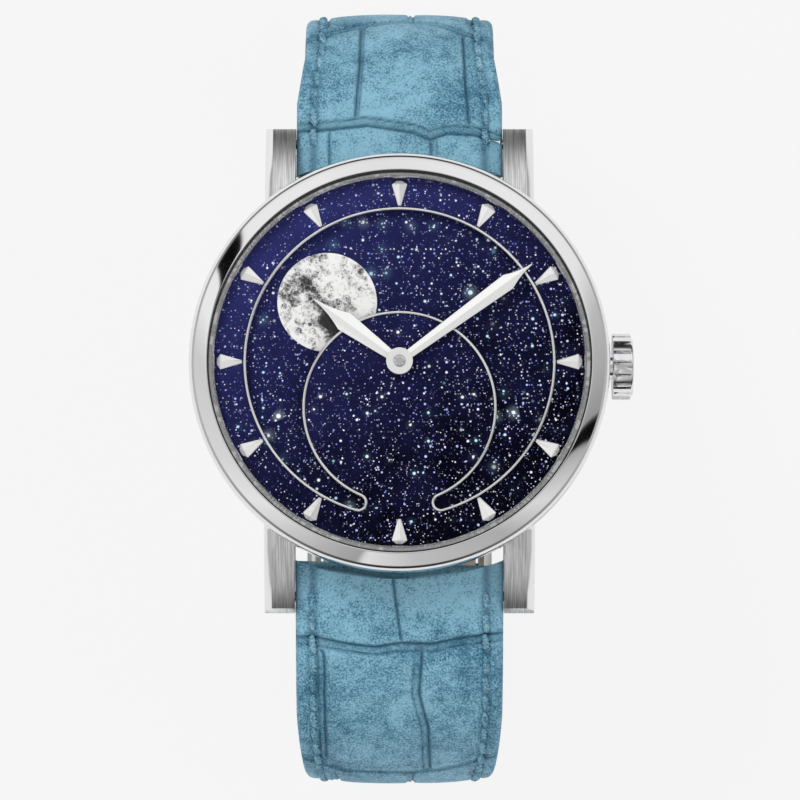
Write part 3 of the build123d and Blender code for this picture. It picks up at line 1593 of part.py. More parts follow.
def make_strap_lower_lining():
    """The lining of the half with the holes."""
    with BuildPart() as strap_lower_lining:
        with BuildSketch(Plane.YZ):
            with BuildLine():
                near_start, near_end = lower_inside(0)
                far_start, far_end = lower_inside(lining_thickness)
                Line(near_start, far_start)
                Line(near_end, far_end)
            make_face()
        extrude(amount=strap_width / 2, both=True)
        trim_strap(-1)
        finish_tail()
        round_tail(strap_lower_lining)
    strap_lower_lining.part.label = "strap_lower_lining"
    export_step(strap_lower_lining.part, "parts/strap_lower_lining.step")


buckle_inner = strap_buckle_width / 2 + buckle_side_gap
buckle_outer = buckle_inner + buckle_leg
cross_bar_place = -buckle_bar_place - buckle_length
notch_height = tongue_lift + tongue_height + fit_gap


def make_buckle_bar():
    """The bar at the end of the upper strap that carries frame and tongue."""
    with BuildPart() as buckle_bar:
        with Locations((0, -buckle_bar_place, buckle_bar_height)):
            Cylinder(buckle_bar_radius, 2 * buckle_outer, rotation=(0, 90, 0))
    buckle_bar.part.label = "buckle_bar"
    export_step(buckle_bar.part, "parts/buckle_bar.step")


def make_buckle_frame():
    """The buckle's frame: two legs with eyes on the bar, and a notched cross bar."""
    eye = eye_radius + 3 * fit_gap
    with BuildPart() as buckle_frame:
        with Locations((0, cross_bar_place, 0)):
            Box(
                2 * buckle_outer, cross_bar_width, cross_bar_height,
                align=(Align.CENTER, Align.CENTER, Align.MIN),
            )
        for side in (-1, 1):
            with BuildSketch(Plane.YZ.offset(side * (buckle_inner + buckle_outer) / 2)) as leg:
                with Locations((-buckle_bar_place, buckle_bar_height)):
                    Circle(eye)
                with Locations((cross_bar_place, cross_bar_height / 2)):
                    Rectangle(cross_bar_width, cross_bar_height)
                make_hull()
            extrude(leg.sketch, amount=buckle_leg / 2, both=True)
        with Locations((0, -buckle_bar_place, buckle_bar_height)):
            Cylinder(
                buckle_bar_radius + fit_gap, 2 * buckle_outer, rotation=(0, 90, 0), mode=Mode.SUBTRACT
            )
        with Locations((0, cross_bar_place, 0)):
            Box(
                tongue_width + 4 * fit_gap, 2 * cross_bar_width, notch_height,
                align=(Align.CENTER, Align.CENTER, Align.MIN), mode=Mode.SUBTRACT,
            )
    buckle_frame.part.label = "buckle_frame"
    export_step(buckle_frame.part, "parts/buckle_frame.step")


def make_buckle_tongue():
    """The tongue: an eye on the bar, a neck through the tail and a straight point."""
    top = tongue_lift + tongue_height
    far = cross_bar_place - cross_bar_width * tongue_tip_share
    outside = tongue_neck - tongue_neck_width
    with BuildPart() as buckle_tongue:
        with BuildSketch(Plane.YZ):
            with BuildLine():
                Polyline(
                    (-buckle_bar_place, buckle_bar_height + eye_radius * tongue_root_share),
                    (tongue_neck - fit_gap, tail_inner + soft_gap), (outside, tail_outer),
                    (outside - fit_gap, top), (far, top - fit_gap), (far, tongue_lift),
                    (tongue_neck - soft_gap, tongue_lift), (tongue_neck, tail_outer),
                    (tongue_neck + fit_gap, tail_inner - soft_gap),
                    (-buckle_bar_place, buckle_bar_height - eye_radius * tongue_root_share), close=True,
                )
            make_face()
            with Locations((-buckle_bar_place, buckle_bar_height)):
                Circle(eye_radius)
                Circle(buckle_bar_radius + fit_gap, mode=Mode.SUBTRACT)
        extrude(amount=tongue_width / 2, both=True)
    buckle_tongue.part.label = "buckle_tongue"
    export_step(buckle_tongue.part, "parts/buckle_tongue.step")


def make_keeper(name, low, ceiling):
    """A leather loop around both layers of the strap."""
    inner = strap_buckle_width / 2 + keeper_gap
    with BuildPart() as keeper:
        with BuildSketch(Plane.XZ.offset(-low)):
            with Locations((0, (ceiling + keeper_wall) / 2)):
                RectangleRounded(2 * (inner + keeper_wall), ceiling + keeper_wall, keeper_wall / 2)
            with Locations((0, (keeper_floor + ceiling) / 2)):
                Rectangle(2 * inner, ceiling - keeper_floor, mode=Mode.SUBTRACT)
        extrude(amount=-keeper_width)
    keeper.part.label = name
    export_step(keeper.part, f"parts/{name}.step")


make_case_middle()
make_bezel()
make_rehaut_ring()
make_crystal()
make_crystal_gasket()
make_case_back()
make_back_crystal()
make_back_gasket()
make_back_screws()
make_spring_bars()
make_crown_tube()
make_crown()
make_winding_stem()
make_winding_pinion()
make_sliding_pinion()
make_dial()
make_aperture_frame()
make_hour_markers()
make_dial_spacer()
make_moon_disc()
make_moon_relief()
make_hand(
    "hour_hand", hour_length, hour_shoulder, hour_width, hour_base, hour_angle,
    hour_hand_low, hour_hub_height, hour_pipe,
)
make_hand(
    "minute_hand", minute_length, minute_shoulder, minute_width, minute_base, minute_angle,
    minute_hand_low, minute_hub_height, cannon_radius,
)
make_cannon_pinion()
make_minute_wheel()
make_hour_wheel()
make_moon_driver()
make_moon_gear()
make_main_plate()
make_movement_ring()
make_barrel()
make_barrel_arbor()
make_mainspring()
make_barrel_bridge()
make_train_bridge()
make_balance_cock()
make_jewels()
make_bridge_screws()
make_centre_wheel()
make_third_wheel()
make_fourth_wheel()
make_escape_wheel()
make_pallet_fork()
make_pallet_bridge()
make_balance_wheel()
make_hairspring()
make_ratchet_wheel()
make_crown_wheel()
make_click()
make_rotor()
make_rotor_bearing()
make_strap_upper()
make_strap_upper_lining()
make_strap_lower()
make_strap_lower_lining()
make_buckle_bar()
make_buckle_frame()
make_buckle_tongue()
make_keeper("fixed_keeper", -keeper_width / 2, upper_inner)
make_keeper("free_keeper", free_keeper_place, upper_inner + keeper_gap)
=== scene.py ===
"""A round wristwatch with a moon display on a pale blue strap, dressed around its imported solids."""

import json
import logging
import math
from dataclasses import dataclass
from enum import Enum
from typing import Any

import bmesh
import bpy
import numpy as np
from mathutils import Matrix, Vector


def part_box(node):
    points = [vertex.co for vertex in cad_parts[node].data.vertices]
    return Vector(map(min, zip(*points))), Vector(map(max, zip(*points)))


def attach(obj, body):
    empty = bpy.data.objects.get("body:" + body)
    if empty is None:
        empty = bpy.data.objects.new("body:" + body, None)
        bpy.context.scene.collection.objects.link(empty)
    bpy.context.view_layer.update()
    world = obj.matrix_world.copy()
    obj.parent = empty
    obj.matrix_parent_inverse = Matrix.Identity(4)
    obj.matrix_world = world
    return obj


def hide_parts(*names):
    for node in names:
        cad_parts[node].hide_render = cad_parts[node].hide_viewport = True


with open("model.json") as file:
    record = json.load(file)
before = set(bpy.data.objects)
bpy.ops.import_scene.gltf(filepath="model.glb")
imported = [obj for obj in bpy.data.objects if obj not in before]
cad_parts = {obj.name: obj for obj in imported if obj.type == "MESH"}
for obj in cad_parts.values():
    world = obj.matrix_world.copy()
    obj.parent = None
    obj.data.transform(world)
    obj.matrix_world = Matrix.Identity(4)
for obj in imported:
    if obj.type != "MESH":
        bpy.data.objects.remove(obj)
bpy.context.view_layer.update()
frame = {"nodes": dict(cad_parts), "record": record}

MM = 0.001
WELD = 0.0004 * MM
FLAT = math.radians(0.6)
SHARP = 32.0
log = logging.getLogger("watch")


# Shader building


class Value:
    """A number in a node tree, on which Python's operators add Math nodes."""

    def __init__(self, graph: "Nodes", socket: bpy.types.NodeSocket) -> None:
        """Keeps the socket that carries the number."""
        self.graph = graph
        self.socket = socket

    def __add__(self, other: Any) -> "Value":
        """The sum with another number."""
        return self.graph.maths("ADD", self, other)

    def __sub__(self, other: Any) -> "Value":
        """The difference from another number."""
        return self.graph.maths("SUBTRACT", self, other)

    def __rsub__(self, other: Any) -> "Value":
        """The difference of another number from this one."""
        return self.graph.maths("SUBTRACT", other, self)

    def __mul__(self, other: Any) -> "Value":
        """The product with another number."""
        return self.graph.maths("MULTIPLY", self, other)

    def __truediv__(self, other: Any) -> "Value":
        """The quotient by another number."""
        return self.graph.maths("DIVIDE", self, other)

    def __rtruediv__(self, other: Any) -> "Value":
        """The quotient of another number by this one."""
        return self.graph.maths("DIVIDE", other, self)

    def __pow__(self, other: Any) -> "Value":
        """The power by another number."""
        return self.graph.maths("POWER", self, other)

    __radd__ = __add__
    __rmul__ = __mul__


class Nodes:
    """A node tree that grows by one node at a time."""

    def __init__(self, tree: bpy.types.NodeTree, end: str) -> None:
        """Empties the tree and adds the node that it ends in."""
        self.tree = tree
        self.tree.nodes.clear()
        self.output = self.tree.nodes.new(end)

    def node(self, kind: str, settings: dict[str, Any] | None = None, inputs: dict | None = None) -> Any:
        """Adds one node.

        Args:
            kind: The node's type.
            settings: Its properties, set before its sockets.
            inputs: Values, sockets or Values by socket name or index.

        Returns:
            The node.
        """
        made = self.tree.nodes.new(kind)
        for name, value in (settings or {}).items():
            if name == "stops":
                ramp = made.color_ramp
                while len(ramp.elements) < len(value):
                    ramp.elements.new(1.0)
                for stop, (place, colour) in zip(ramp.elements, value):
                    stop.position = place
                    stop.color = (*colour, 1.0)
            else:
                setattr(made, name, value)
        for name, value in (inputs or {}).items():
            value = value.socket if isinstance(value, Value) else value
            if isinstance(value, bpy.types.NodeSocket):
                self.tree.links.new(value, made.inputs[name])
            else:
                made.inputs[name].default_value = value
        return made

    def value(
        self, kind: str, inputs: dict | None = None, settings: dict | None = None, end: Any = 0
    ) -> Value:
        """Adds one node and takes one of its outputs as a number."""
        return Value(self, self.node(kind, settings, inputs).outputs[end])

    def close(self, last: bpy.types.Node) -> None:
        """Ends the tree in a node's first output."""
        self.tree.links.new(last.outputs[0], self.output.inputs[0])

    def maths(self, operation: str, *operands: Any) -> Value:
        """A Math node on up to three operands."""
        return self.value("ShaderNodeMath", dict(enumerate(operands)), {"operation": operation})

    def joined(self, x: Any, y: Any, z: Any) -> Any:
        """A vector from three numbers."""
        return self.node("ShaderNodeCombineXYZ", None, {0: x, 1: y, 2: z}).outputs[0]


class Graph(Nodes):
    """The node tree of one material, or of the world."""

    def __init__(self, name: str, world: bpy.types.World | None = None) -> None:
        """Empties the tree of a world, or of a new material with this name."""
        self.owner = world or bpy.data.materials.new(f"{name}_finish")
        self.owner.use_nodes = True
        super().__init__(self.owner.node_tree, f"ShaderNodeOutput{'World' if world else 'Material'}")

    def clamp(self, value: Any) -> Value:
        """A number held between zero and one."""
        return self.value("ShaderNodeClamp", {0: value})

    def range(self, value: Any, low: float, high: float, start: float = 0.0, end: float = 1.0) -> Value:
        """A number carried smoothly from one range to another."""
        inputs = {0: value, 1: low, 2: high, 3: start, 4: end}
        return self.value("ShaderNodeMapRange", inputs, {"interpolation_type": "SMOOTHSTEP"})

    def place(self) -> bpy.types.NodeSocket:
        """Object coordinates in millimetres."""
        inputs = {0: self.node("ShaderNodeTexCoord").outputs["Object"], "Scale": 1 / MM}
        return self.node("ShaderNodeVectorMath", {"operation": "SCALE"}, inputs).outputs[0]

    def moved(self, vector: Any, shift: tuple = (0, 0, 0), scale: tuple = (1, 1, 1)) -> Any:
        """A vector shifted and stretched by a Mapping node."""
        inputs = {"Vector": vector, "Location": shift, "Scale": scale}
        return self.node("ShaderNodeMapping", None, inputs).outputs[0]

    def parts(self, vector: Any) -> tuple[Value, Value, Value]:
        """The three numbers of a vector."""
        made = self.node("ShaderNodeSeparateXYZ", None, {0: vector})
        return tuple(Value(self, socket) for socket in made.outputs)

    def noise(self, vector: Any, scale: float, detail: float = 4.0, rough: float = 0.55) -> Value:
        """Soft noise, from zero to one."""
        inputs = {"Vector": vector, "Scale": scale, "Detail": detail, "Roughness": rough}
        return self.value("ShaderNodeTexNoise", inputs)

    def cells(self, vector: Any, size: float, flat: bool = True) -> tuple[Value, Any]:
        """The distance to a cell's point in millimetres, and the cell's random colour."""
        settings = {"voronoi_dimensions": "2D" if flat else "3D"}
        made = self.node("ShaderNodeTexVoronoi", settings, {"Vector": vector, "Scale": 1 / size})
        return Value(self, made.outputs["Distance"]) * size, made.outputs["Color"]

    def attribute(self, name: str) -> Value:
        """A number that the mesh carries at its points."""
        return self.value("ShaderNodeAttribute", None, {"attribute_name": name}, "Fac")

    def mix(self, share: Any, first: Any, second: Any, **settings: Any) -> Any:
        """A colour between two colours, or blended as the settings say."""
        inputs = {0: share, 6: self.colour(first), 7: self.colour(second)}
        return self.node("ShaderNodeMix", {"data_type": "RGBA", **settings}, inputs).outputs[2]

    def lit(self, base: Any, light: Any) -> Any:
        """The sum of two colours."""
        return self.mix(1.0, base, light, blend_type="ADD", clamp_result=True)

    @staticmethod
    def colour(value: Any) -> Any:
        """A colour with its alpha, or a socket as it is."""
        return (*value, 1.0) if isinstance(value, tuple) and len(value) == 3 else value

    def bump(self, height: Any, depth: float) -> Any:
        """A normal from a height that is one at a depth in millimetres."""
        inputs = {"Height": height, "Distance": depth * MM, "Strength": 1.0}
        return self.node("ShaderNodeBump", None, inputs).outputs[0]

    def surface(self, **inputs: Any) -> bpy.types.Material:
        """Ends the tree in a Principled surface.

        Args:
            inputs: Socket values, with underscores for the spaces in the names.

        Returns:
            The finished material.
        """
        named = {name.replace("_", " "): self.colour(value) for name, value in inputs.items()}
        if "Specular IOR" in named:
            named["Specular IOR Level"] = named.pop("Specular IOR")
        self.close(self.node("ShaderNodeBsdfPrincipled", None, named))
        return self.owner


class Grain(Enum):
    """The ways that a metal is brushed."""

    ALONG_Y = (1.0, 0.02, 0.02)
    ALONG_Z = (1.0, 1.0, 0.02)
    ROUND = (0.0, 0.0, 0.0)


@dataclass(frozen=True)
class Polished:
    """A mirror polish with a faint haze."""

    name: str
    colour: tuple = (0.80, 0.80, 0.81)
    roughness: float = 0.03
    haze: float = 0.03

    def build(self) -> bpy.types.Material:
        """The material."""
        graph = Graph(self.name)
        cloud = graph.noise(graph.place(), 0.9, 3.0)
        return graph.surface(
            Base_Color=self.colour, Metallic=1.0, Roughness=cloud * self.haze + self.roughness,
        )


@dataclass(frozen=True)
class Brushed:
    """A satin metal with fine lines in one direction."""

    name: str
    grain: Grain = Grain.ALONG_Y
    colour: tuple = (0.66, 0.66, 0.67)
    roughness: float = 0.26
    line: float = 0.09
    depth: float = 0.008
    contrast: float = 0.68

    def build(self) -> bpy.types.Material:
        """The material."""
        graph = Graph(self.name)
        place = graph.place()
        x, y, z = graph.parts(place)
        if self.grain is Grain.ROUND:
            far = graph.maths("SQRT", x * x + y * y)
            path = graph.joined(far, z, graph.maths("ARCTAN2", y, x) * 0.3)
        else:
            path = graph.moved(place, scale=self.grain.value)
        lines = graph.noise(path, 1 / self.line, 2.0, 0.6)
        shade = tuple(self.contrast * part for part in self.colour)
        tone = graph.mix(graph.range(lines, 0.3, 0.7), shade, self.colour)
        return graph.surface(
            Base_Color=tone, Metallic=1.0, Roughness=lines * 0.16 + self.roughness,
            Normal=graph.bump(lines, self.depth),
        )


@dataclass(frozen=True)
class Striped:
    """A plated metal with broad waves ground across it."""

    name: str
    colour: tuple = (0.72, 0.71, 0.69)
    pitch: float = 2.4
    turn: float = 25.0
    round: bool = False

    def build(self) -> bpy.types.Material:
        """The material."""
        graph = Graph(self.name)
        place = graph.place()
        x, y, _ = graph.parts(place)
        if self.round:
            across = graph.maths("SQRT", x * x + y * y)
        else:
            angle = math.radians(self.turn)
            across = x * math.cos(angle) + y * math.sin(angle)
        phase = graph.maths("FRACT", across / self.pitch)
        wave = phase ** 1.6
        fine = graph.noise(graph.joined(across * 0.2, phase * 3.0, x * 4.0), 6.0, 2.0)
        tone = graph.mix(wave * 0.8 + fine * 0.15, tuple(0.62 * part for part in self.colour), self.colour)
        return graph.surface(
            Base_Color=tone, Metallic=1.0, Roughness=fine * 0.12 + 0.2, Normal=graph.bump(wave, 0.05),
        )


@dataclass(frozen=True)
class Flecks:
    """A layer of flecks, one to a cell, of which a share shines. Its lengths are in millimetres."""

    cell: float
    size: float
    share: float
    power: float
    tint: tuple
    glow: float = 0.0


@dataclass(frozen=True)
class Aventurine:
    """Dark blue glass full of bright flecks, with painted light that makes its blue lighter towards the
    upper left and dims the flecks there.
    """

    name: str
    # The two ends of the blue: the first in painted shade, the second lit by painted light, with random
    # clouds between.
    deep: tuple
    bright: tuple
    layers: tuple
    roughness: float = 0.32
    radius: float = 17.65
    painted_glare: float = 0.55
    glint: float = 1.8
    painted_light_way: tuple = (0.5, 0.62)
    cloudiness: float = 0.45

    def build(self) -> bpy.types.Material:
        """The material."""
        graph = Graph(self.name)
        place = graph.place()
        x, y, _ = graph.parts(place)
        # The way towards the painted light, as shares of left and up.
        left, up = self.painted_light_way
        # Painted light: a gradient that lightens the blue towards the upper left.
        painted_light = graph.clamp((y * up - x * left) / self.radius * 0.62 + 0.5) ** 1.8
        cloud = graph.noise(place, 0.28, 3.0)
        share = graph.clamp(painted_light * 0.85 + (cloud - 0.5) * self.cloudiness)
        colour = graph.mix(share, self.deep, self.bright)
        for flecks in self.layers:
            cell, size = flecks.cell, flecks.size
            distance, random = graph.cells(graph.moved(place, shift=(cell * 7.0, cell * 3.0, 0.0)), cell)
            red, green, blue = graph.parts(random)
            chosen = graph.range(green, 1.0 - flecks.share, 1.0 - flecks.share * 0.3)
            reach = red * size * 0.75 + size * 0.25
            power = blue * (1.0 - flecks.power) + flecks.power
            spot = graph.clamp((reach - distance) / (size * 0.45)) * chosen * power
            # Painted glare: the flecks fade where the painted light is strongest.
            spot = spot * (1.0 - painted_light * self.painted_glare) * self.glint
            if flecks.glow:
                halo = graph.clamp(1.0 - distance / (size * 4.0))
                spot = spot + halo * halo * chosen * red * flecks.glow
            tinted = graph.mix(blue ** 1.7, flecks.tint, (1.0, 1.0, 1.0))
            colour = graph.lit(colour, graph.mix(graph.clamp(spot), (0.0, 0.0, 0.0), tinted))
        return graph.surface(
            Base_Color=colour, Roughness=self.roughness, Specular_IOR=0.02,
        )


@dataclass(frozen=True)
class MoonPaint:
    """The grey and white of a cratered moon, which follows the relief's own tone."""

    name: str
    light: tuple = (0.86, 0.86, 0.85)
    middle: tuple = (0.48, 0.48, 0.475)
    shade: tuple = (0.16, 0.16, 0.165)
    dark: tuple = (0.03, 0.03, 0.032)
    relief: float = 1.5
    darkening: float = 0.36
    mottle: float = 3.4
    grit: float = 1.8

    def build(self) -> bpy.types.Material:
        """The material."""
        graph = Graph(self.name)
        place = graph.place()
        tone = graph.attribute("tone")
        fine = graph.noise(place, 0.9, 8.0, 0.72)
        grit = graph.noise(place, 5.0, 5.0, 0.7)
        share = tone * self.relief - self.darkening + (fine - 0.5) * self.mottle + (grit - 0.5) * self.grit
        share = graph.clamp(share)
        stops = ((0.0, self.dark), (0.3, self.shade), (0.6, self.middle), (0.9, self.light))
        colour = graph.node("ShaderNodeValToRGB", {"stops": stops}, {0: share}).outputs[0]
        return graph.surface(
            Base_Color=colour, Roughness=0.5, Normal=graph.bump(share, 0.05), Specular_IOR=0.3,
        )


@dataclass(frozen=True)
class ClearGlass:
    """Coated sapphire: clear from the front, and with a gloss along its edge."""

    name: str
    face: float = 0.0006
    edge: float = 0.3

    def build(self) -> bpy.types.Material:
        """The material."""
        graph = Graph(self.name)
        facing = graph.value("ShaderNodeLayerWeight", {"Blend": 0.3}, end="Facing")
        alpha = facing ** 3.0 * self.edge + self.face
        return graph.surface(
            Base_Color=(0.93, 0.96, 0.98), Roughness=0.03, Alpha=alpha, Specular_IOR=0.6,
        )


@dataclass(frozen=True)
class Leather:
    """Leather with painted shade in its grooves, painted light near the lugs where it is asked for, and a
    fine grain.
    """

    name: str
    light: tuple
    dark: tuple
    # The colour of the painted shade in the grooves and the stitch channel.
    groove: tuple
    roughness: float = 0.55
    grain: float = 0.35
    depth: float = 0.11
    painted_lug_light: float = 0.0
    patchy: float = 2.0
    cloudy: float = 1.7
    fibrous: float = 4.4

    def build(self) -> bpy.types.Material:
        """The material."""
        graph = Graph(self.name)
        place = graph.place()
        patches = graph.noise(place, 0.13, 3.0, 0.6)
        clouds = graph.noise(place, 0.7, 5.0, 0.65)
        fibres = graph.noise(place, 5.4, 3.0, 0.75)
        _, y, z = graph.parts(place)
        # Painted light: the leather turns lighter near the lugs, high on the strap.
        near = graph.range(graph.maths("ABSOLUTE", y), 29.0, 20.5) * graph.range(z, 30.0, 40.0)
        # Painted shade: the groove attribute darkens the grooves and the stitch channel.
        cut = graph.attribute("groove")
        share = (patches - 0.5) * self.patchy + (clouds - 0.5) * self.cloudy
        share = graph.clamp(share + (fibres - 0.5) * self.fibrous + near * self.painted_lug_light + 0.5)
        colour = graph.mix(share, self.dark, self.light)
        colour = graph.mix(graph.clamp(cut), colour, self.groove)
        pores, _ = graph.cells(place, self.grain, flat=False)
        height = fibres * 1.2 + graph.clamp(pores / self.grain) * 0.4 + clouds * 0.5
        return graph.surface(
            Base_Color=colour, Roughness=fibres * 0.25 + self.roughness - 0.1,
            Normal=graph.bump(height, self.depth), Specular_IOR=0.35,
        )


@dataclass(frozen=True)
class Plain:
    """One colour all over, such as rubber or ruby."""

    name: str
    colour: tuple
    roughness: float = 0.6
    metallic: float = 0.0
    coat: float = 0.0

    def build(self) -> bpy.types.Material:
        """The material."""
        graph = Graph(self.name)
        return graph.surface(
            Base_Color=self.colour, Roughness=self.roughness, Metallic=self.metallic, Coat_Weight=self.coat,
        )


NAVY_LAYERS = (
    Flecks(0.19, 0.085, 0.3, 0.02, (0.04, 0.045, 0.4)),
    Flecks(0.27, 0.11, 0.12, 0.3, (0.12, 0.14, 1.0)),
    Flecks(0.5, 0.15, 0.17, 0.8, (0.4, 0.5, 1.0)),
    Flecks(1.5, 0.18, 0.42, 1.0, (0.4, 0.8, 1.0), 0.06),
)
SKY_LAYERS = (
    Flecks(0.21, 0.09, 0.34, 0.02, (0.05, 0.06, 0.4)),
    Flecks(0.3, 0.11, 0.1, 0.3, (0.12, 0.14, 1.0)),
    Flecks(0.42, 0.13, 0.22, 0.5, (0.3, 0.4, 1.0)),
    Flecks(0.85, 0.18, 0.36, 0.9, (0.5, 0.75, 1.0), 0.02),
    Flecks(2.3, 0.26, 0.42, 1.0, (0.35, 0.85, 1.0), 0.3),
)
LIGHT_BLUE = (0.28, 0.55, 0.70)
SHADE_BLUE = (0.035, 0.15, 0.245)
# The painted shade in the strap's grooves and stitch channel.
GROOVE_SHADE_BLUE = (0.03, 0.11, 0.175)


class Finish(Enum):
    """Every finish on the watch, by what wears it."""

    STEEL = Polished("polished_steel")
    SATIN = Brushed("satin_steel", Grain.ALONG_Y, (0.92, 0.92, 0.93), 0.24, 0.07, 0.008, 0.5)
    SATIN_ROUND = Brushed("satin_round_steel", Grain.ROUND)
    SATIN_BAND = Brushed("satin_band_steel", Grain.ALONG_Z, roughness=0.2)
    SILVER = Polished("silvered_polish", (0.90, 0.90, 0.89), 0.16, 0.08)
    HAND = Plain("hand_silver", (0.95, 0.95, 0.94), 0.24, 0.6)
    DARK_STEEL = Polished("hardened_steel", (0.42, 0.43, 0.45), 0.2)
    BLUED = Polished("blued_steel", (0.05, 0.10, 0.38), 0.12)
    GILT = Brushed("gilt_wheel", Grain.ROUND, (0.86, 0.66, 0.32), 0.2, 0.05, 0.002)
    BRASS = Brushed("turned_brass", Grain.ROUND, (0.80, 0.63, 0.33), 0.28)
    STRIPES = Striped("striped_bridge")
    PEARLED = Brushed("grained_plate", Grain.ROUND, (0.62, 0.61, 0.59), 0.3, 0.12, 0.01)
    ROTOR = Striped("striped_rotor", (0.74, 0.72, 0.69), 2.0, 0.0, True)
    RUBY = Plain("ruby", (0.55, 0.01, 0.06), 0.06, 0.0, 1.0)
    RUBBER = Plain("seal_rubber", (0.02, 0.02, 0.02), 0.7)
    # The dial and the sky each run from a dark blue to a lighter blue of painted light towards the upper
    # left.
    DIAL = Aventurine("aventurine_dial", (0.0005, 0.0005, 0.005), (0.03, 0.033, 0.16), NAVY_LAYERS)
    SKY = Aventurine("aventurine_sky", (0.001, 0.001, 0.009), (0.024, 0.028, 0.135), SKY_LAYERS)
    MOON = MoonPaint("moon_paint")
    GLASS = ClearGlass("coated_sapphire")
    # The blue strap gets painted light near its lugs.
    BLUE_LEATHER = Leather("blue_leather", LIGHT_BLUE, SHADE_BLUE, GROOVE_SHADE_BLUE, painted_lug_light=0.4)
    LINING = Leather(
        "lining_leather", (0.47, 0.40, 0.31), (0.36, 0.29, 0.21), (0.2, 0.15, 0.1), 0.65, 0.2, 0.02,
    )
    THREAD = Leather("thread", (0.30, 0.55, 0.68), (0.04, 0.15, 0.23), (0.05, 0.14, 0.2), 0.6, 0.12, 0.04)

    @property
    def material(self) -> bpy.types.Material:
        """The finish's material, built when it is first wanted."""
        known = bpy.data.materials.get(f"{self.value.name}_finish")
        return known or self.value.build()


# Mesh building


def link(mesh: bpy.types.Mesh, name: str) -> bpy.types.Object:
    """A new object for a mesh, in the scene."""
    made = bpy.data.objects.new(name, mesh)
    bpy.context.scene.collection.objects.link(made)
    return made


def applied(thing: bpy.types.Object) -> bpy.types.Object:
    """Turns an object with modifiers into a plain mesh."""
    graph = bpy.context.evaluated_depsgraph_get()
    graph.update()
    final = thing.evaluated_get(graph)
    plain = bpy.data.meshes.new_from_object(final, preserve_all_data_layers=True, depsgraph=graph)
    thing.modifiers.clear()
    thing.data = plain
    return thing


def meshed(work: bmesh.types.BMesh, name: str) -> bpy.types.Object:
    """A new object from worked faces, with its normals outwards."""
    bmesh.ops.recalc_face_normals(work, faces=work.faces)
    mesh = bpy.data.meshes.new(name)
    work.to_mesh(mesh)
    work.free()
    return link(mesh, name)


def cut(thing: bpy.types.Object, work: bmesh.types.BMesh) -> bpy.types.Object:
    """Takes the room of worked faces away from a piece."""
    knife = meshed(work, "knife")
    taken = thing.modifiers.new("taken", "BOOLEAN")
    taken.operation = "DIFFERENCE"
    taken.object = knife
    applied(thing)
    bpy.data.objects.remove(knife)
    return thing


def corners_of(node: str) -> tuple[Vector, Vector]:
    """The lowest and highest corners of a solid, in millimetres."""
    return tuple(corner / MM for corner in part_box(node))


def smooth(thing: bpy.types.Object, angle: float = SHARP) -> bpy.types.Object:
    """Shades a mesh smooth, with sharp edges past an angle."""
    thing.data.shade_smooth()
    thing.data.set_sharp_from_angle(angle=math.radians(angle))
    return thing


def settle(thing: bpy.types.Object, finish: Finish | None = None, node: str = "") -> bpy.types.Object:
    """Gives a piece its finish and its body, and hides the solid it stands for.

    Args:
        thing: The finished piece.
        finish: What it wears, or nothing where it is set already.
        node: The solid that it replaces, or nothing for an addition to the root.

    Returns:
        The piece.
    """
    body = body_of(node) if node else "root"
    if finish:
        thing.data.materials.clear()
        thing.data.materials.append(finish.material)
    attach(thing, body)
    if node:
        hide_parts(node)
    log.info("%s: %d faces on %s", thing.name, len(thing.data.polygons), body)
    return thing


def body_of(node: str) -> str:
    """The body that carries a solid."""
    for name, members in frame["record"]["behaviour"]["bodies"].items():
        if node in members:
            return name
    raise KeyError(node)


def ease(thing: bpy.types.Object, width: float, segments: int, angle: float = 30.0) -> None:
    """Rounds the edges past an angle in degrees by a width in millimetres."""
    eased = thing.modifiers.new("eased", "BEVEL")
    eased.width = width * MM
    eased.segments = segments
    eased.limit_method = "ANGLE"
    eased.angle_limit = math.radians(angle)
    eased.harden_normals = False
    applied(thing)


def refined(node: str, finish: Finish, bevel: float = 0.0, angle: float = SHARP, name: str = "") -> Any:
    """A cleaned copy of a solid with merged points, flat faces joined and edges eased.

    Args:
        node: The solid.
        finish: What it wears.
        bevel: The width of the eased edges in millimetres, or zero.
        angle: The angle in degrees past which an edge is sharp.
        name: The piece's name, where it isn't the solid's.

    Returns:
        The piece, in place of the solid.
    """
    mesh = frame["nodes"][node].data.copy()
    work = bmesh.new()
    work.from_mesh(mesh)
    bmesh.ops.remove_doubles(work, verts=work.verts, dist=WELD)
    if bevel:
        bmesh.ops.dissolve_limit(work, angle_limit=FLAT, verts=work.verts, edges=work.edges)
    work.to_mesh(mesh)
    work.free()
    thing = link(mesh, f"{name or node}_look")
    if bevel:
        ease(thing, bevel, 2, angle)
    smooth(thing, angle)
    return settle(thing, finish, node)


def join(work: bmesh.types.BMesh, *rows: list) -> None:
    """Joins closed rows of points with faces, where a row may also be a single point."""
    for first, second in zip(rows, rows[1:]):
        for step in range(max(len(first), len(second))):
            path = ((first, step), (first, step + 1), (second, step + 1), (second, step))
            work.faces.new(tuple(dict.fromkeys(row[place % len(row)] for row, place in path)))


def lathe(
    name: str, profile: list[tuple[float, float]], steps: int = 288, angle: float = SHARP
) -> bpy.types.Object:
    """A ring or a disc turned about the dial's axis.

    Args:
        name: The piece's name.
        profile: Radius and height in millimetres, closed in on itself, outwards going down.
        steps: How many faces go round.
        angle: The angle in degrees past which an edge is sharp.

    Returns:
        The piece.
    """
    work = bmesh.new()
    rings = []
    for radius, height in profile:
        reach = radius * MM
        turns = [2 * math.pi * step / steps for step in range(steps if radius else 1)]
        places = [(reach * math.cos(turn), reach * math.sin(turn), height * MM) for turn in turns]
        rings.append([work.verts.new(place) for place in places])
    if profile[0][0]:
        rings.append(rings[0])
    join(work, *rings)
    return smooth(meshed(work, name), angle)


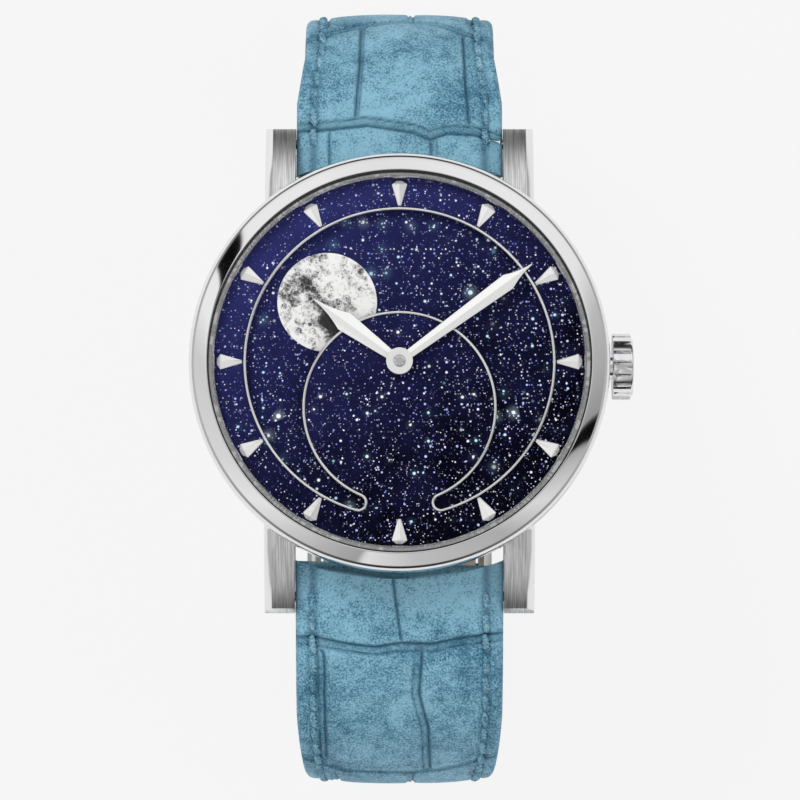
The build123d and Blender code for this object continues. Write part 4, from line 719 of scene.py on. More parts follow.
def arc(first: tuple, second: tuple, rise: float, count: int = 10) -> list[tuple[float, float]]:
    """Points on a shallow arc between two points, with its middle raised to the left of the way."""
    (ax, ay), (bx, by) = first, second
    length = math.hypot(bx - ax, by - ay)
    side = (-(by - ay) / length, (bx - ax) / length)
    points = []
    for step in range(count + 1):
        share = step / count
        lift = 4 * rise * share * (1 - share)
        points.append((ax + (bx - ax) * share + side[0] * lift, ay + (by - ay) * share + side[1] * lift))
    return points


def islands(node: str) -> list[tuple[Vector, Vector]]:
    """The lowest and highest corners of each separate solid in a node."""
    work = bmesh.new()
    work.from_mesh(frame["nodes"][node].data)
    bmesh.ops.remove_doubles(work, verts=work.verts, dist=WELD)
    left = set(work.verts)
    found = []
    while left:
        stack = [left.pop()]
        group = list(stack)
        while stack:
            for edge in stack.pop().link_edges:
                for vert in edge.verts:
                    if vert in left:
                        left.discard(vert)
                        stack.append(vert)
                        group.append(vert)
        spots = np.array([vert.co for vert in group])
        found.append((Vector(spots.min(0)), Vector(spots.max(0))))
    work.free()
    return sorted(found, key=lambda pair: tuple(round(part, 6) for part in pair[0]))


# Geometry Nodes building


class GeometryTree(Nodes):
    """A Geometry Nodes tree with named inputs, which ends in real faces with a material."""

    def __init__(self, name: str, **inputs: str) -> None:
        """Makes the tree with its inputs, by name and kind of socket."""
        group = bpy.data.node_groups.new(name, "GeometryNodeTree")
        group.interface.new_socket("Geometry", in_out="OUTPUT", socket_type="NodeSocketGeometry")
        self.names = {}
        kinds = {"Geometry": "Geometry", **inputs, "Item": "Object", "Finish": "Material"}
        for label, kind in kinds.items():
            made = group.interface.new_socket(label, in_out="INPUT", socket_type=f"NodeSocket{kind}")
            self.names[label] = made.identifier
        super().__init__(group, "NodeGroupOutput")
        self.entry = group.nodes.new("NodeGroupInput")

    def get(self, label: str) -> Value:
        """One of the tree's inputs."""
        return Value(self, self.entry.outputs[label])

    def copies(self, points: Any, turn: Any) -> "GeometryTree":
        """Stands the item on points with a turn, makes it real with its material and ends the tree."""
        item = self.node("GeometryNodeObjectInfo", None, {"Object": self.get("Item")})
        inputs = {"Points": points, "Instance": item.outputs["Geometry"], "Rotation": turn}
        stood = self.node("GeometryNodeInstanceOnPoints", None, inputs)
        real = self.node("GeometryNodeRealizeInstances", None, {0: stood.outputs[0]})
        inputs = {"Geometry": real.outputs[0], "Material": self.get("Finish")}
        self.close(self.node("GeometryNodeSetMaterial", None, inputs))
        return self

    def run(self, thing: bpy.types.Object, finish: Finish, **values: Any) -> bpy.types.Object:
        """Runs the tree on an object and keeps the plain mesh that it makes."""
        modifier = thing.modifiers.new(self.tree.name, "NODES")
        modifier.node_group = self.tree
        modifier[self.names["Finish"]] = finish.material
        for label, value in values.items():
            modifier[self.names[label]] = value
        applied(thing)
        bpy.data.objects.remove(values["Item"])
        return thing


def ring_tree() -> GeometryTree:
    """A tree that stands copies of an item round a circle, each turned outwards."""
    tree = GeometryTree("ring_of_items", Count="Int", Radius="Float", Height="Float", Turn="Float")
    index = tree.value("GeometryNodeInputIndex")
    angle = index * (2 * math.pi / tree.get("Count")) + tree.get("Turn")
    x, y = (tree.get("Radius") * tree.maths(way, angle) for way in ("COSINE", "SINE"))
    points = tree.node("GeometryNodePoints", None, {"Count": tree.get("Count")}).outputs[0]
    inputs = {"Geometry": points, "Position": tree.joined(x, y, tree.get("Height"))}
    placed = tree.node("GeometryNodeSetPosition", None, inputs).outputs[0]
    return tree.copies(placed, tree.joined(0.0, 0.0, angle - math.pi / 2))


def spot_tree() -> GeometryTree:
    """A tree that stands a copy of an item on each point of a mesh, each at its own angle."""
    tree = GeometryTree("items_on_points", Seed="Int")
    inputs = {"Max": math.pi, "Seed": tree.get("Seed")}
    random = tree.node("FunctionNodeRandomValue", {"data_type": "FLOAT"}, inputs).outputs[1]
    return tree.copies(tree.get("Geometry"), tree.joined(0.0, 0.0, random))


def stitch_tree() -> GeometryTree:
    """A tree that lays stitches along lines, flat on the surface that the lines lie on."""
    tree = GeometryTree("stitches_on_lines", Pitch="Float", Slant="Float")
    line = tree.node("GeometryNodeMeshToCurve", None, {0: tree.get("Geometry")}).outputs[0]
    inputs = {"Curve": line, "Length": tree.get("Pitch")}
    even = tree.node("GeometryNodeResampleCurve", {"mode": "LENGTH"}, inputs).outputs[0]
    out = tree.node("GeometryNodeInputNamedAttribute", {"data_type": "FLOAT_VECTOR"}, {"Name": "outward"})
    inputs = {0: out.outputs[0], 1: tree.node("GeometryNodeInputTangent").outputs[0]}
    settings = {"primary_axis": "Z", "secondary_axis": "X"}
    lie = tree.node("FunctionNodeAxesToRotation", settings, inputs).outputs[0]
    inputs = {0: lie, 1: tree.joined(0.0, 0.0, tree.get("Slant"))}
    turn = tree.node("FunctionNodeRotateRotation", {"rotation_space": "LOCAL"}, inputs).outputs[0]
    return tree.copies(even, turn)


# Sub-assemblies


@dataclass
class Head:
    """The case, its bezel and the glasses, about the dial's axis. Its lengths are in millimetres."""

    rim_width: float = 0.5
    rim_drop: float = 0.9
    rim_swell: float = 0.13
    face_rise: float = 0.35
    face_swell: float = 0.03
    lip: float = 0.1
    seat_gap: float = 0.1
    edge: float = 0.08
    ring_gap: float = 0.02
    ring_wall: float = 0.2
    ring_slope: tuple = (0.06, 0.12)
    glass_edge: float = 0.95
    glass_wall: float = 0.9
    glass_inset: float = 0.8
    glass_bevel: float = 0.3
    glass_steps: int = 24
    back_bevel: float = 0.12
    band_reach: float = 19.9
    band_facing: float = 0.95
    lug_start: float = 12.0
    lug_facing: float = 0.3

    def bezel(self) -> None:
        """The polished bezel with its rolled rim, and the ring that stands inside it."""
        low, high = corners_of("bezel")
        glass_low, glass_high = corners_of("crystal")
        ring_low, ring_high = corners_of("rehaut_ring")
        outer, top, bore = high.x, high.z, ring_high.x
        seat = glass_high.x + self.seat_gap
        corner, lip = (seat, top - self.edge), (seat + self.lip, top)
        rim = (outer - self.rim_width, top - self.face_rise)
        profile = [(bore, low.z), (bore, glass_low.z), (seat, glass_low.z), corner]
        profile += arc(corner, lip, self.face_swell, 4)[1:]
        profile += arc(lip, rim, self.face_swell, 14)[1:]
        profile += arc(rim, (outer, rim[1] - self.rim_drop), self.rim_swell, 14)[1:]
        profile += [(outer, low.z + self.edge), (outer - self.edge, low.z)]
        settle(lathe("bezel_look", profile), Finish.STEEL, "bezel")
        thin, inner = bore - self.ring_gap, bore - self.ring_wall
        across, down = self.ring_slope
        ring = [(thin, ring_low.z), (thin, ring_high.z), (inner + across, ring_high.z),
                (inner, ring_high.z - down), (inner, ring_low.z)]
        settle(lathe("inner_ring_look", ring), Finish.SATIN_BAND, "rehaut_ring")

    def glasses(self) -> None:
        """The domed front glass and the flat back glass with their seals."""
        low, high = corners_of("crystal")
        edge_top = low.z + self.glass_edge
        rise = high.z - edge_top
        outside, inside = high.x - self.glass_bevel, high.x - self.glass_inset
        shares = [step / self.glass_steps for step in range(1, self.glass_steps + 1)]
        profile = [(0.0, high.z)]
        profile += [(outside * share, edge_top + rise * (1 - share**2)) for share in shares]
        profile += [(high.x, edge_top - self.glass_bevel), (high.x, low.z), (inside, low.z)]
        profile += [(inside * share, low.z + self.glass_wall * (1 - share**2)) for share in shares[-2::-1]]
        profile.append((0.0, low.z + self.glass_wall))
        settle(lathe("front_glass_look", profile), Finish.GLASS, "crystal")
        low, high = corners_of("back_crystal")
        flat = [(0.0, high.z), (high.x, high.z), (high.x, low.z + self.back_bevel),
                (high.x - self.back_bevel, low.z), (0.0, low.z)]
        settle(lathe("back_glass_look", flat), Finish.GLASS, "back_crystal")
        refined("crystal_gasket", Finish.RUBBER, name="front_seal")
        refined("back_gasket", Finish.RUBBER, name="back_seal")

    def middle(self) -> None:
        """The satin case middle with a finely lined band and polished sides of its lugs."""
        case = refined("case_middle", Finish.SATIN, 0.07)
        for finish in (Finish.STEEL, Finish.SATIN_BAND):
            case.data.materials.append(finish.material)
        for face in case.data.polygons:
            outward = face.center.xy.normalized().dot(face.normal.xy)
            if face.center.xy.length / MM < self.band_reach and outward > self.band_facing:
                face.material_index = 2
            elif abs(face.normal.x) > self.lug_facing and abs(face.center.y) / MM > self.lug_start:
                face.material_index = 1
        refined("case_back", Finish.SATIN_ROUND, 0.06)
        refined("spring_bars", Finish.STEEL, 0.05)
        refined("crown_tube", Finish.STEEL)
        refined("crown", Finish.STEEL, 0.06, 28)
        refined("winding_stem", Finish.DARK_STEEL, 0.03)

    def screws(self) -> None:
        """The back screws, each with its slot."""
        spots = islands("back_screws")
        low, high = spots[0]
        way = ((low + high) / 2).xy
        host = link(bpy.data.meshes.new("back_screws_look"), "back_screws_look")
        ring_tree().run(
            host, Finish.BLUED, Count=len(spots), Radius=way.length, Height=0.0,
            Turn=math.atan2(way.y, way.x) + math.pi, Item=screw_template("back_screw_item", low, high),
        )
        settle(smooth(host), None, "back_screws")

    def build(self) -> None:
        """Builds every piece of the head's outside."""
        self.bezel()
        self.glasses()
        self.middle()
        self.screws()


def screw_template(name: str, low: Vector, high: Vector) -> bpy.types.Object:
    """A slotted screw with its head down, upright on the dial's axis.

    Args:
        name: The object's name.
        low: The lowest corner of the real screw.
        high: Its highest corner.

    Returns:
        The screw, at its real height.
    """
    radius, height = (high.x - low.x) / 2 / MM, (high.z - low.z) / MM
    head, shank, bevel = min(0.28, height * 0.3), radius * 0.5, 0.05
    turned = lathe(name, [
        (0.0, 0.0), (radius - bevel, 0.0), (radius, bevel), (radius, head), (shank, head),
        (shank, height), (0.0, height),
    ], 32)
    work = bmesh.new()
    slot = Matrix.Diagonal((radius * 3 * MM, radius * 0.32 * MM, head * 1.1 * MM, 1))
    bmesh.ops.create_cube(work, size=1.0, matrix=slot)
    cut(turned, work).data.transform(Matrix.Translation((0, 0, low.z)))
    return turned


@dataclass
class Face:
    """The dial, its trim and hands, and the moon's disc under it."""

    marker_count: int = 12
    marker_length: float = 2.4
    marker_tip: float = 0.3
    marker_wide_share: float = 0.854
    marker_width: float = 1.5
    marker_end: float = 0.55
    marker_edge: float = 0.14
    marker_ease: float = 0.035
    crest_gap: float = 0.12
    crest_share: float = 0.55
    moon_seed: int = 11
    moon_rings: int = 120
    moon_steps: int = 300
    plains: int = 11
    craters: int = 150

    def dial(self) -> None:
        """The aventurine dial and the sky disc that turns below its opening."""
        refined("dial", Finish.DIAL)
        refined("moon_disc", Finish.SKY, name="sky_disc")
        refined("aperture_frame", Finish.SILVER, 0.04, 28, name="opening_frame")
        refined("dial_spacer", Finish.BRASS)

    def markers(self) -> None:
        """Twelve facetted wedges, each with a ridge that runs to its point."""
        low, high = corners_of("hour_markers")
        end = high.x
        start = end - self.marker_length
        wide = start + self.marker_length * self.marker_wide_share
        middle, ridge = (start + end) / 2, high.z - low.z
        half, tip, tail = self.marker_width / 2, self.marker_tip / 2, self.marker_end / 2
        outline = [(-tip, start), (tip, start), (half, wide), (tail, end), (-tail, end), (-half, wide)]
        crest = [(0.0, start + self.crest_gap, ridge * self.crest_share), (0.0, wide, ridge)]
        places = [(x, y, z) for z in (0.0, self.marker_edge) for x, y in outline] + crest
        work = bmesh.new()
        spots = [work.verts.new((x * MM, (y - middle) * MM, z * MM)) for x, y, z in places]
        base, edge, (point, top) = spots[:6], spots[6:12], spots[12:]
        slopes = [(*edge[at:at + 2], top) for at in (2, 3, 4)]
        slopes += [(*edge[:2], point), (edge[1], edge[2], top, point), (edge[5], edge[0], point, top)]
        work.faces.new(base[::-1])
        join(work, base, edge)
        for corners in slopes:
            work.faces.new(corners)
        item = meshed(work, "marker_item")
        ease(item, self.marker_ease, 1)
        host = link(bpy.data.meshes.new("hour_markers_look"), "hour_markers_look")
        ring_tree().run(
            host, Finish.HAND, Count=self.marker_count, Radius=middle * MM, Height=low.z * MM,
            Turn=math.pi / 2, Item=item,
        )
        settle(host, None, "hour_markers")

    def cratered(self, x: np.ndarray, y: np.ndarray) -> tuple[np.ndarray, np.ndarray]:
        """The moon's relief and its tone at places in a round of radius one."""
        rng = np.random.default_rng(self.moon_seed)
        height, tone = np.zeros_like(x), np.full_like(x, 0.86)
        for _ in range(self.plains):
            cx, cy = rng.uniform(-0.75, 0.75), rng.uniform(-0.3, 0.3)
            cx, cy = 0.8 * cx + 0.6 * cy - 0.1, -0.6 * cx + 0.8 * cy - 0.12
            reach = rng.uniform(0.12, 0.34)
            pit = np.exp(-(((x - cx) ** 2 + (y - cy) ** 2) / reach**2) ** 1.3)
            tone -= rng.uniform(0.2, 0.45) * pit
            height -= 0.012 * pit
        for _ in range(self.craters):
            angle, away = rng.uniform(0, 2 * math.pi), math.sqrt(rng.uniform(0, 0.94))
            size = 0.016 + 0.10 * rng.uniform() ** 4.0
            gap = np.hypot(x - away * math.cos(angle), y - away * math.sin(angle)) / size
            bowl = np.where(gap < 1, (gap**2 - 1) * 0.5, 0) + np.exp(-(((gap - 1.05) / 0.22) ** 2)) * 0.45
            height += bowl * size * 0.22
            tone += np.where(gap < 0.9, -0.16, 0) + np.exp(-(((gap - 1.1) / 0.22) ** 2)) * 0.1
        return height, tone

    def moon(self) -> None:
        """A round relief of the moon with rimmed craters and broad dark plains."""
        low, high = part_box("moon_relief")
        centre = (low + high) / 2
        radius = (high.x - low.x) / 2
        far = np.linspace(0, 1, self.moon_rings + 1)[1:]
        turn = np.arange(self.moon_steps) * 2 * math.pi / self.moon_steps
        x, y = np.outer(far, np.cos(turn)), np.outer(far, np.sin(turn))
        height, tone = self.cratered(x, y)
        span = (high.z - low.z) / radius
        dome = span * (0.62 - 0.3 * far[:, None] ** 4)
        lift = np.clip(dome + height * (1 - far[:, None] ** 8), 0.05 * span, span)
        places = np.stack((centre.x + radius * x, centre.y + radius * y, low.z + radius * lift), axis=-1)
        work = bmesh.new()
        shade = work.verts.layers.float.new("tone")
        middle = work.verts.new((centre.x, centre.y, low.z + radius * float(lift[0].mean())))
        middle[shade] = 0.6
        grid = [[work.verts.new(place) for place in row] for row in places.tolist()]
        for row, levels in zip(grid, tone.tolist()):
            for vert, level in zip(row, levels):
                vert[shade] = level
        grid.append([work.verts.new((vert.co.x, vert.co.y, low.z)) for vert in grid[-1]])
        join(work, [middle], *grid)
        work.faces.new(grid[-1][::-1])
        thing = smooth(meshed(work, "moon_look"), 60)
        settle(thing, Finish.MOON, "moon_relief")

    def hands(self) -> None:
        """The two facetted hands and the pin that they turn on."""
        for node in ("hour_hand", "minute_hand"):
            refined(node, Finish.HAND, 0.03, 12)
        refined("cannon_pinion", Finish.STEEL, name="centre_pin")

    def build(self) -> None:
        """Builds the dial side."""
        self.dial()
        self.markers()
        self.moon()
        self.hands()


@dataclass
class Works:
    """The movement that shows through the back glass."""

    screw_seed: int = 5

    def build(self) -> None:
        """Dresses the plates, wheels, springs, jewels and screws."""
        pieces = {
            Finish.STRIPES: ("barrel_bridge", "train_bridge", "balance_cock"),
            Finish.PEARLED: ("main_plate",),
            Finish.BRASS: ("movement_ring",),
            Finish.GILT: ("barrel", "centre_wheel", "third_wheel", "fourth_wheel", "balance_wheel",
                          "minute_wheel", "hour_wheel", "moon_driver", "moon_gear"),
            Finish.DARK_STEEL: ("escape_wheel", "pallet_fork", "click", "winding_pinion", "sliding_pinion",
                                "barrel_arbor", "mainspring", "rotor_bearing"),
            Finish.SATIN: ("pallet_bridge",),
            Finish.SATIN_ROUND: ("ratchet_wheel", "crown_wheel"),
            Finish.BLUED: ("hairspring",),
            Finish.RUBY: ("jewels",),
            Finish.ROTOR: ("rotor",),
        }
        eased = {"barrel_bridge": 0.08, "train_bridge": 0.08, "balance_cock": 0.08, "rotor": 0.08,
                 "pallet_bridge": 0.05, "click": 0.04, "rotor_bearing": 0.05, "movement_ring": 0.06}
        for finish, nodes in pieces.items():
            for node in nodes:
                refined(node, finish, eased.get(node, 0.0))
        self.screws()

    def screws(self) -> None:
        """The bridge screws, each with its slot at its own angle."""
        spots = islands("bridge_screws")
        low, high = spots[0]
        lift = Vector((0, 0, low.z))
        item = screw_template("bridge_screw_item", low - lift, high - lift)
        mesh = bpy.data.meshes.new("bridge_screws_look")
        mesh.from_pydata([((a.x + b.x) / 2, (a.y + b.y) / 2, a.z) for a, b in spots], [], [])
        host = link(mesh, "bridge_screws_look")
        spot_tree().run(host, Finish.BLUED, Item=item, Seed=self.screw_seed)
        settle(smooth(host), None, "bridge_screws")


@dataclass
class Route:
    """The outer face of one strap half in the plane of the loop, walked from its lug.

    The first number of each point goes out from the dial's axis and the second is the height, both in
    millimetres.
    """

    bar_height: float
    bar_place: float
    reach: float
    foot: float
    thick: float = 3.8
    thin: float = 2.2
    root: float = 18.5
    droop: float = 12.0
    droop_length: float = 6.0
    side_bend: tuple[float, float] = (0.0, 0.0)
    step: float = 0.18
    seen_length: float = 26.0

    def shoulder(self) -> tuple[tuple[float, float], float, float]:
        """The outer face's start, the radius of the bend beside the lug and the widest place's height."""
        sine, cosine = math.sin(math.radians(self.droop)), math.cos(math.radians(self.droop))
        top = self.bar_height + self.thick / 2 / cosine + (self.bar_place - self.root) * sine / cosine
        radius = (self.reach - self.root - self.droop_length * cosine) / (1 - sine)
        widest = top - self.droop_length * sine - radius * cosine
        return (self.root, top), radius, widest

    def foot_radius(self) -> float:
        """The radius of the bend that comes down onto the foot."""
        radius, turn = self.side_bend
        sine = math.sin(math.radians(turn))
        return (self.shoulder()[2] - radius * sine - self.foot) / (1 - sine)

    def foot_start(self) -> float:
        """How far out the flat foot starts."""
        radius, turn = self.side_bend
        cosine = math.cos(math.radians(turn))
        return self.reach - radius * (1 - cosine) - self.foot_radius() * cosine

    def walk(self, tail: list[tuple[float, float]]) -> tuple[np.ndarray, np.ndarray, float]:
        """Walks the line and the arcs.

        Args:
            tail: Further pieces past the foot's bend, each a length with no turn or a radius with a turn.

        Returns:
            The points, the inward directions and the length up to the foot.
        """
        def inside(angle: float) -> np.ndarray:
            """The inward direction for a heading."""
            return np.array((math.sin(angle), -math.cos(angle)))

        start, shoulder, _ = self.shoulder()
        pieces = [(self.droop_length, 0.0), (shoulder, 90 - self.droop)]
        if self.side_bend[1]:
            pieces.append(self.side_bend)
        pieces.append((self.foot_radius(), 90 - self.side_bend[1]))
        curved = len(pieces)
        spot, heading = np.array(start), math.radians(-self.droop)
        points, inward, length, foot_length = [], [], 0.0, 0.0
        for place, (size, turn) in enumerate(pieces + tail, 1):
            span = size * math.radians(turn) if turn else size
            count = max(2, round(span / self.step / (2 if length > self.seen_length else 1)))
            for index in range(count + 1):
                now = heading - math.radians(turn) * index / count
                way = np.array((math.cos(now), math.sin(now))) * (size * index / count)
                points.append(spot + (size * (inside(heading) - inside(now)) if turn else way))
                inward.append(inside(now))
            inward.pop()
            spot, heading = points.pop(), now
            length += span
            if place == curved:
                foot_length = length
        return np.array([*points, spot]), np.array([*inward, inside(heading)]), foot_length


@dataclass(frozen=True)
class Groove:
    """A pressed line between two scales, by points across and along in millimetres."""

    points: tuple
    depth: float = 0.34
    width: float = 0.34
    double: float = 0.0


def lengths(points: np.ndarray) -> np.ndarray:
    """The distance of each point of a line from its start."""
    return np.concatenate(([0.0], np.cumsum(np.hypot(*np.diff(points, axis=0).T))))


@dataclass
class Band:
    """A leather band along a route, with a crowned and pressed outer face and rounded edges."""

    name: str
    points: np.ndarray
    inward: np.ndarray
    thickness: np.ndarray
    half_width: np.ndarray
    crown: np.ndarray
    grooves: tuple = ()
    corner: float = 0.55
    closed: bool = False
    across_y: bool = False
    mirrored: bool = False
    end_radius: float = 0.0
    end_place: float = 0.0
    stitch_inset: float = 0.0
    columns: int = 128
    sharpness: float = 0.55
    side_shares: tuple = (0.45, 0.72, 0.95)
    crown_power: float = 2.6
    fade_width: float = 1.6
    ripple: float = 0.035
    full_groove: float = 0.34
    channel_width: float = 0.42
    channel_depth: float = 0.26
    channel_shade: float = 0.6
    stitch_step: float = 0.4
    stitch_sink: float = 0.16
    end_lean: float = 12.0
    end_run: float = 5.0

    def along(self) -> np.ndarray:
        """The distance of each point from the start."""
        return lengths(self.points)

    def at(self, rows: np.ndarray, values: np.ndarray) -> np.ndarray:
        """The values of the route's points, at distances from the start."""
        return np.interp(rows, self.along(), values)

    def shares(self) -> np.ndarray:
        """The places across the outer face, closer together near the edges."""
        edge = 1 - np.array([0.0, 0.006, 0.018, 0.035, 0.055])
        inner = np.linspace(-0.93, 0.93, self.columns)
        return np.concatenate((-edge, inner, edge[::-1]))

    def pressed(self, across: np.ndarray, along: np.ndarray) -> np.ndarray:
        """How deep the grooves and the stitch channel are pressed, in millimetres."""
        deep = np.zeros_like(across)
        for groove in self.grooves:
            line = np.array(groove.points, float)
            near = np.full_like(across, 1e9)
            signed = np.zeros_like(across)
            for (ax, ay), (bx, by) in zip(line, line[1:]):
                way = np.array((bx - ax, by - ay))
                size = float(way @ way) or 1e-9
                share = np.clip(((across - ax) * way[0] + (along - ay) * way[1]) / size, 0, 1)
                gap_x, gap_y = across - ax - share * way[0], along - ay - share * way[1]
                gap = np.hypot(gap_x, gap_y)
                closer = gap < near
                near = np.where(closer, gap, near)
                signed = np.where(closer, gap * np.sign(gap_y * way[0] - gap_x * way[1]), signed)
            sharp = groove.width * self.sharpness
            deep = np.maximum(deep, groove.depth * np.exp(-((near / sharp) ** 2)))
            deep = np.maximum(deep, groove.depth * 0.3 * np.exp(-near / (groove.width * 2.6)))
            if groove.double:
                second = np.abs(signed - groove.double)
                deep = np.maximum(deep, groove.depth * 0.7 * np.exp(-((second / (sharp * 0.8)) ** 2)))
                between = np.clip(1 - np.abs(signed - groove.double / 2) / abs(groove.double / 2), 0, 1)
                deep = deep + groove.depth * 0.3 * between**0.5 * (near < 2 * abs(groove.double))
        return deep

    def wrinkles(self, across: np.ndarray, along: np.ndarray) -> np.ndarray:
        """Fine creases that wander over the scales, in millimetres."""
        rng = np.random.default_rng(len(self.name) * 17)
        total = np.zeros_like(across)
        for _ in range(9):
            fx, fy = rng.uniform(0.12, 0.5), rng.uniform(0.35, 1.5)
            phase, bend = rng.uniform(0, 6.3, 2)
            wave = across * fx + along * fy + phase
            total += np.sin(wave + 1.4 * np.sin(across * 0.55 + along * 0.3 + bend))
        return total / 9

    def surface(self) -> tuple[np.ndarray, np.ndarray, np.ndarray, np.ndarray]:
        """The outer face.

        Returns:
            Across, along and depth grids, and the painted shade of the grooves and the stitch channel for
            colour.
        """
        along = self.along()
        shares = self.shares()
        across = self.half_width[:, None] * shares[None, :]
        rows = np.repeat(along[:, None], len(shares), axis=1)
        if self.end_radius:
            start = self.end_place - self.end_radius + np.sqrt(self.end_radius**2 - across**2)
            begin = np.interp(start, self.points[:200, 0], along[:200])
            share = along[:, None] / along[-1]
            rows = begin + (along[-1] - begin) * share
        edge = np.maximum(self.half_width[:, None] - np.abs(across), 0.0)
        inside = np.clip(self.corner - edge, 0, self.corner)
        rounded = self.corner - np.sqrt(np.maximum(self.corner**2 - inside**2, 0.0))
        crown = self.crown[:, None] * np.abs(shares[None, :]) ** self.crown_power
        pressed = self.pressed(across, rows) if self.grooves else np.zeros_like(across)
        fade = np.clip(edge / self.fade_width, 0, 1)
        deep = crown + rounded + pressed * (0.35 + 0.65 * fade)
        if self.grooves:
            deep = deep + (self.wrinkles(across, rows) * self.ripple + self.ripple)
        # Painted shade: the grooves darken with their depth, and the stitch channel darkens below.
        tone = np.clip(pressed / self.full_groove, 0, 1) ** 1.5 * 0.85
        if self.stitch_inset:
            gap = np.abs(edge - self.stitch_inset)
            channel = np.exp(-((gap / self.channel_width) ** 2))
            deep = deep + self.channel_depth * channel
            tone = np.clip(tone + self.channel_shade * channel, 0, 1)
        return across, rows, deep, tone

    def embed(self, across: np.ndarray, rows: np.ndarray, depth: np.ndarray) -> np.ndarray:
        """Places in metres for distances across, along and below the outer face."""
        way = [self.at(rows, values) for values in self.inward.T]
        size = np.hypot(*way)
        first, second = (self.at(rows, spot) + part / size * depth for spot, part in zip(self.points.T, way))
        if self.mirrored:
            first = -first
        order = (first, across, second) if self.across_y else (across, first, second)
        return np.stack(order, axis=-1) * MM

    def build(self) -> bpy.types.Object:
        """The closed mesh, with the painted shade of its grooves at each point."""
        across, rows, deep, tone = self.surface()
        count, width = across.shape
        thick = self.at(rows, self.thickness)
        outer = self.embed(across, rows, deep)
        lean = np.zeros_like(rows)
        if self.end_radius:
            droop = math.tan(math.radians(self.end_lean))
            lean = thick * droop * np.clip(1 - (rows - rows[:1]) / self.end_run, 0, 1)
        inner = self.embed(across * 0.992, rows + lean, np.maximum(thick, deep + 0.1))
        sides = []
        for side, shares in ((-1, self.side_shares), (0, self.side_shares[::-1])):
            wide, way, full, back, low = (grid[:, [side]] for grid in (across, rows, thick, lean, deep))
            sides.append([self.embed(wide, way + back * share, np.maximum(full * share, low + 0.02 * place))
                          for place, share in enumerate(shares, 1)])
        inner_columns = inner[:, ::-1][:, ::3]
        if (width - 1) % 3:
            inner_columns = np.concatenate((inner_columns, inner[:, :1]), axis=1)
        ring = np.concatenate([outer, *sides[0], inner_columns, *sides[1]], axis=1)
        total = ring.shape[1]
        # The sides and underside take a quarter of the groove colour all over.
        tones = np.full((count, total), 0.25)
        tones[:, :width] = tone
        faces = []
        for row in range(count if self.closed else count - 1):
            here, after = row * total, (row + 1) % count * total
            for column in range(total):
                beside = (column + 1) % total
                faces.append((here + column, here + beside, after + beside, after + column))
        if not self.closed:
            faces.append(tuple(range(total))[::-1])
            faces.append(tuple(range((count - 1) * total, count * total)))
        mesh = bpy.data.meshes.new("band")
        mesh.from_pydata(ring.reshape(-1, 3).tolist(), [], faces)
        layer = mesh.attributes.new("groove", "FLOAT", "POINT")
        layer.data.foreach_set("value", tones.reshape(-1).astype(np.float32))
        work = bmesh.new()
        work.from_mesh(mesh)
        ends = [face for face in work.faces if len(face.verts) > 4]
        bmesh.ops.triangulate(work, faces=ends, quad_method="BEAUTY", ngon_method="EAR_CLIP")
        return smooth(meshed(work, self.name), 50)

    def stitch_lines(self, start: float, stop: float, name: str) -> bpy.types.Object:
        """Lines for the stitches along both edges, each point with its outward direction."""
        picked = np.arange(start, stop, self.stitch_step)
        sign = -1 if self.mirrored else 1
        half, crown = self.at(picked, self.half_width), self.at(picked, self.crown)
        share = (half - self.stitch_inset) / half
        ways = [self.at(picked, values) for values in self.inward.T]
        power = self.crown_power
        depth = crown * share**power + self.stitch_sink
        slope = power * crown * share ** (power - 1) / half
        verts, outward, edges = [], [], []
        for side in (-1, 1):
            base = len(verts)
            verts += self.embed(side * (half - self.stitch_inset), picked, depth).tolist()
            for lean, x, y in zip(slope * side, *ways):
                outward.append(tuple(Vector((lean, -x * sign, -y)).normalized()))
            edges += [(base + index, base + index + 1) for index in range(len(picked) - 1)]
        mesh = bpy.data.meshes.new(name)
        mesh.from_pydata(verts, edges, [])
        layer = mesh.attributes.new("outward", "FLOAT_VECTOR", "POINT")
        layer.data.foreach_set("vector", np.array(outward, np.float32).reshape(-1))
        return link(mesh, name)


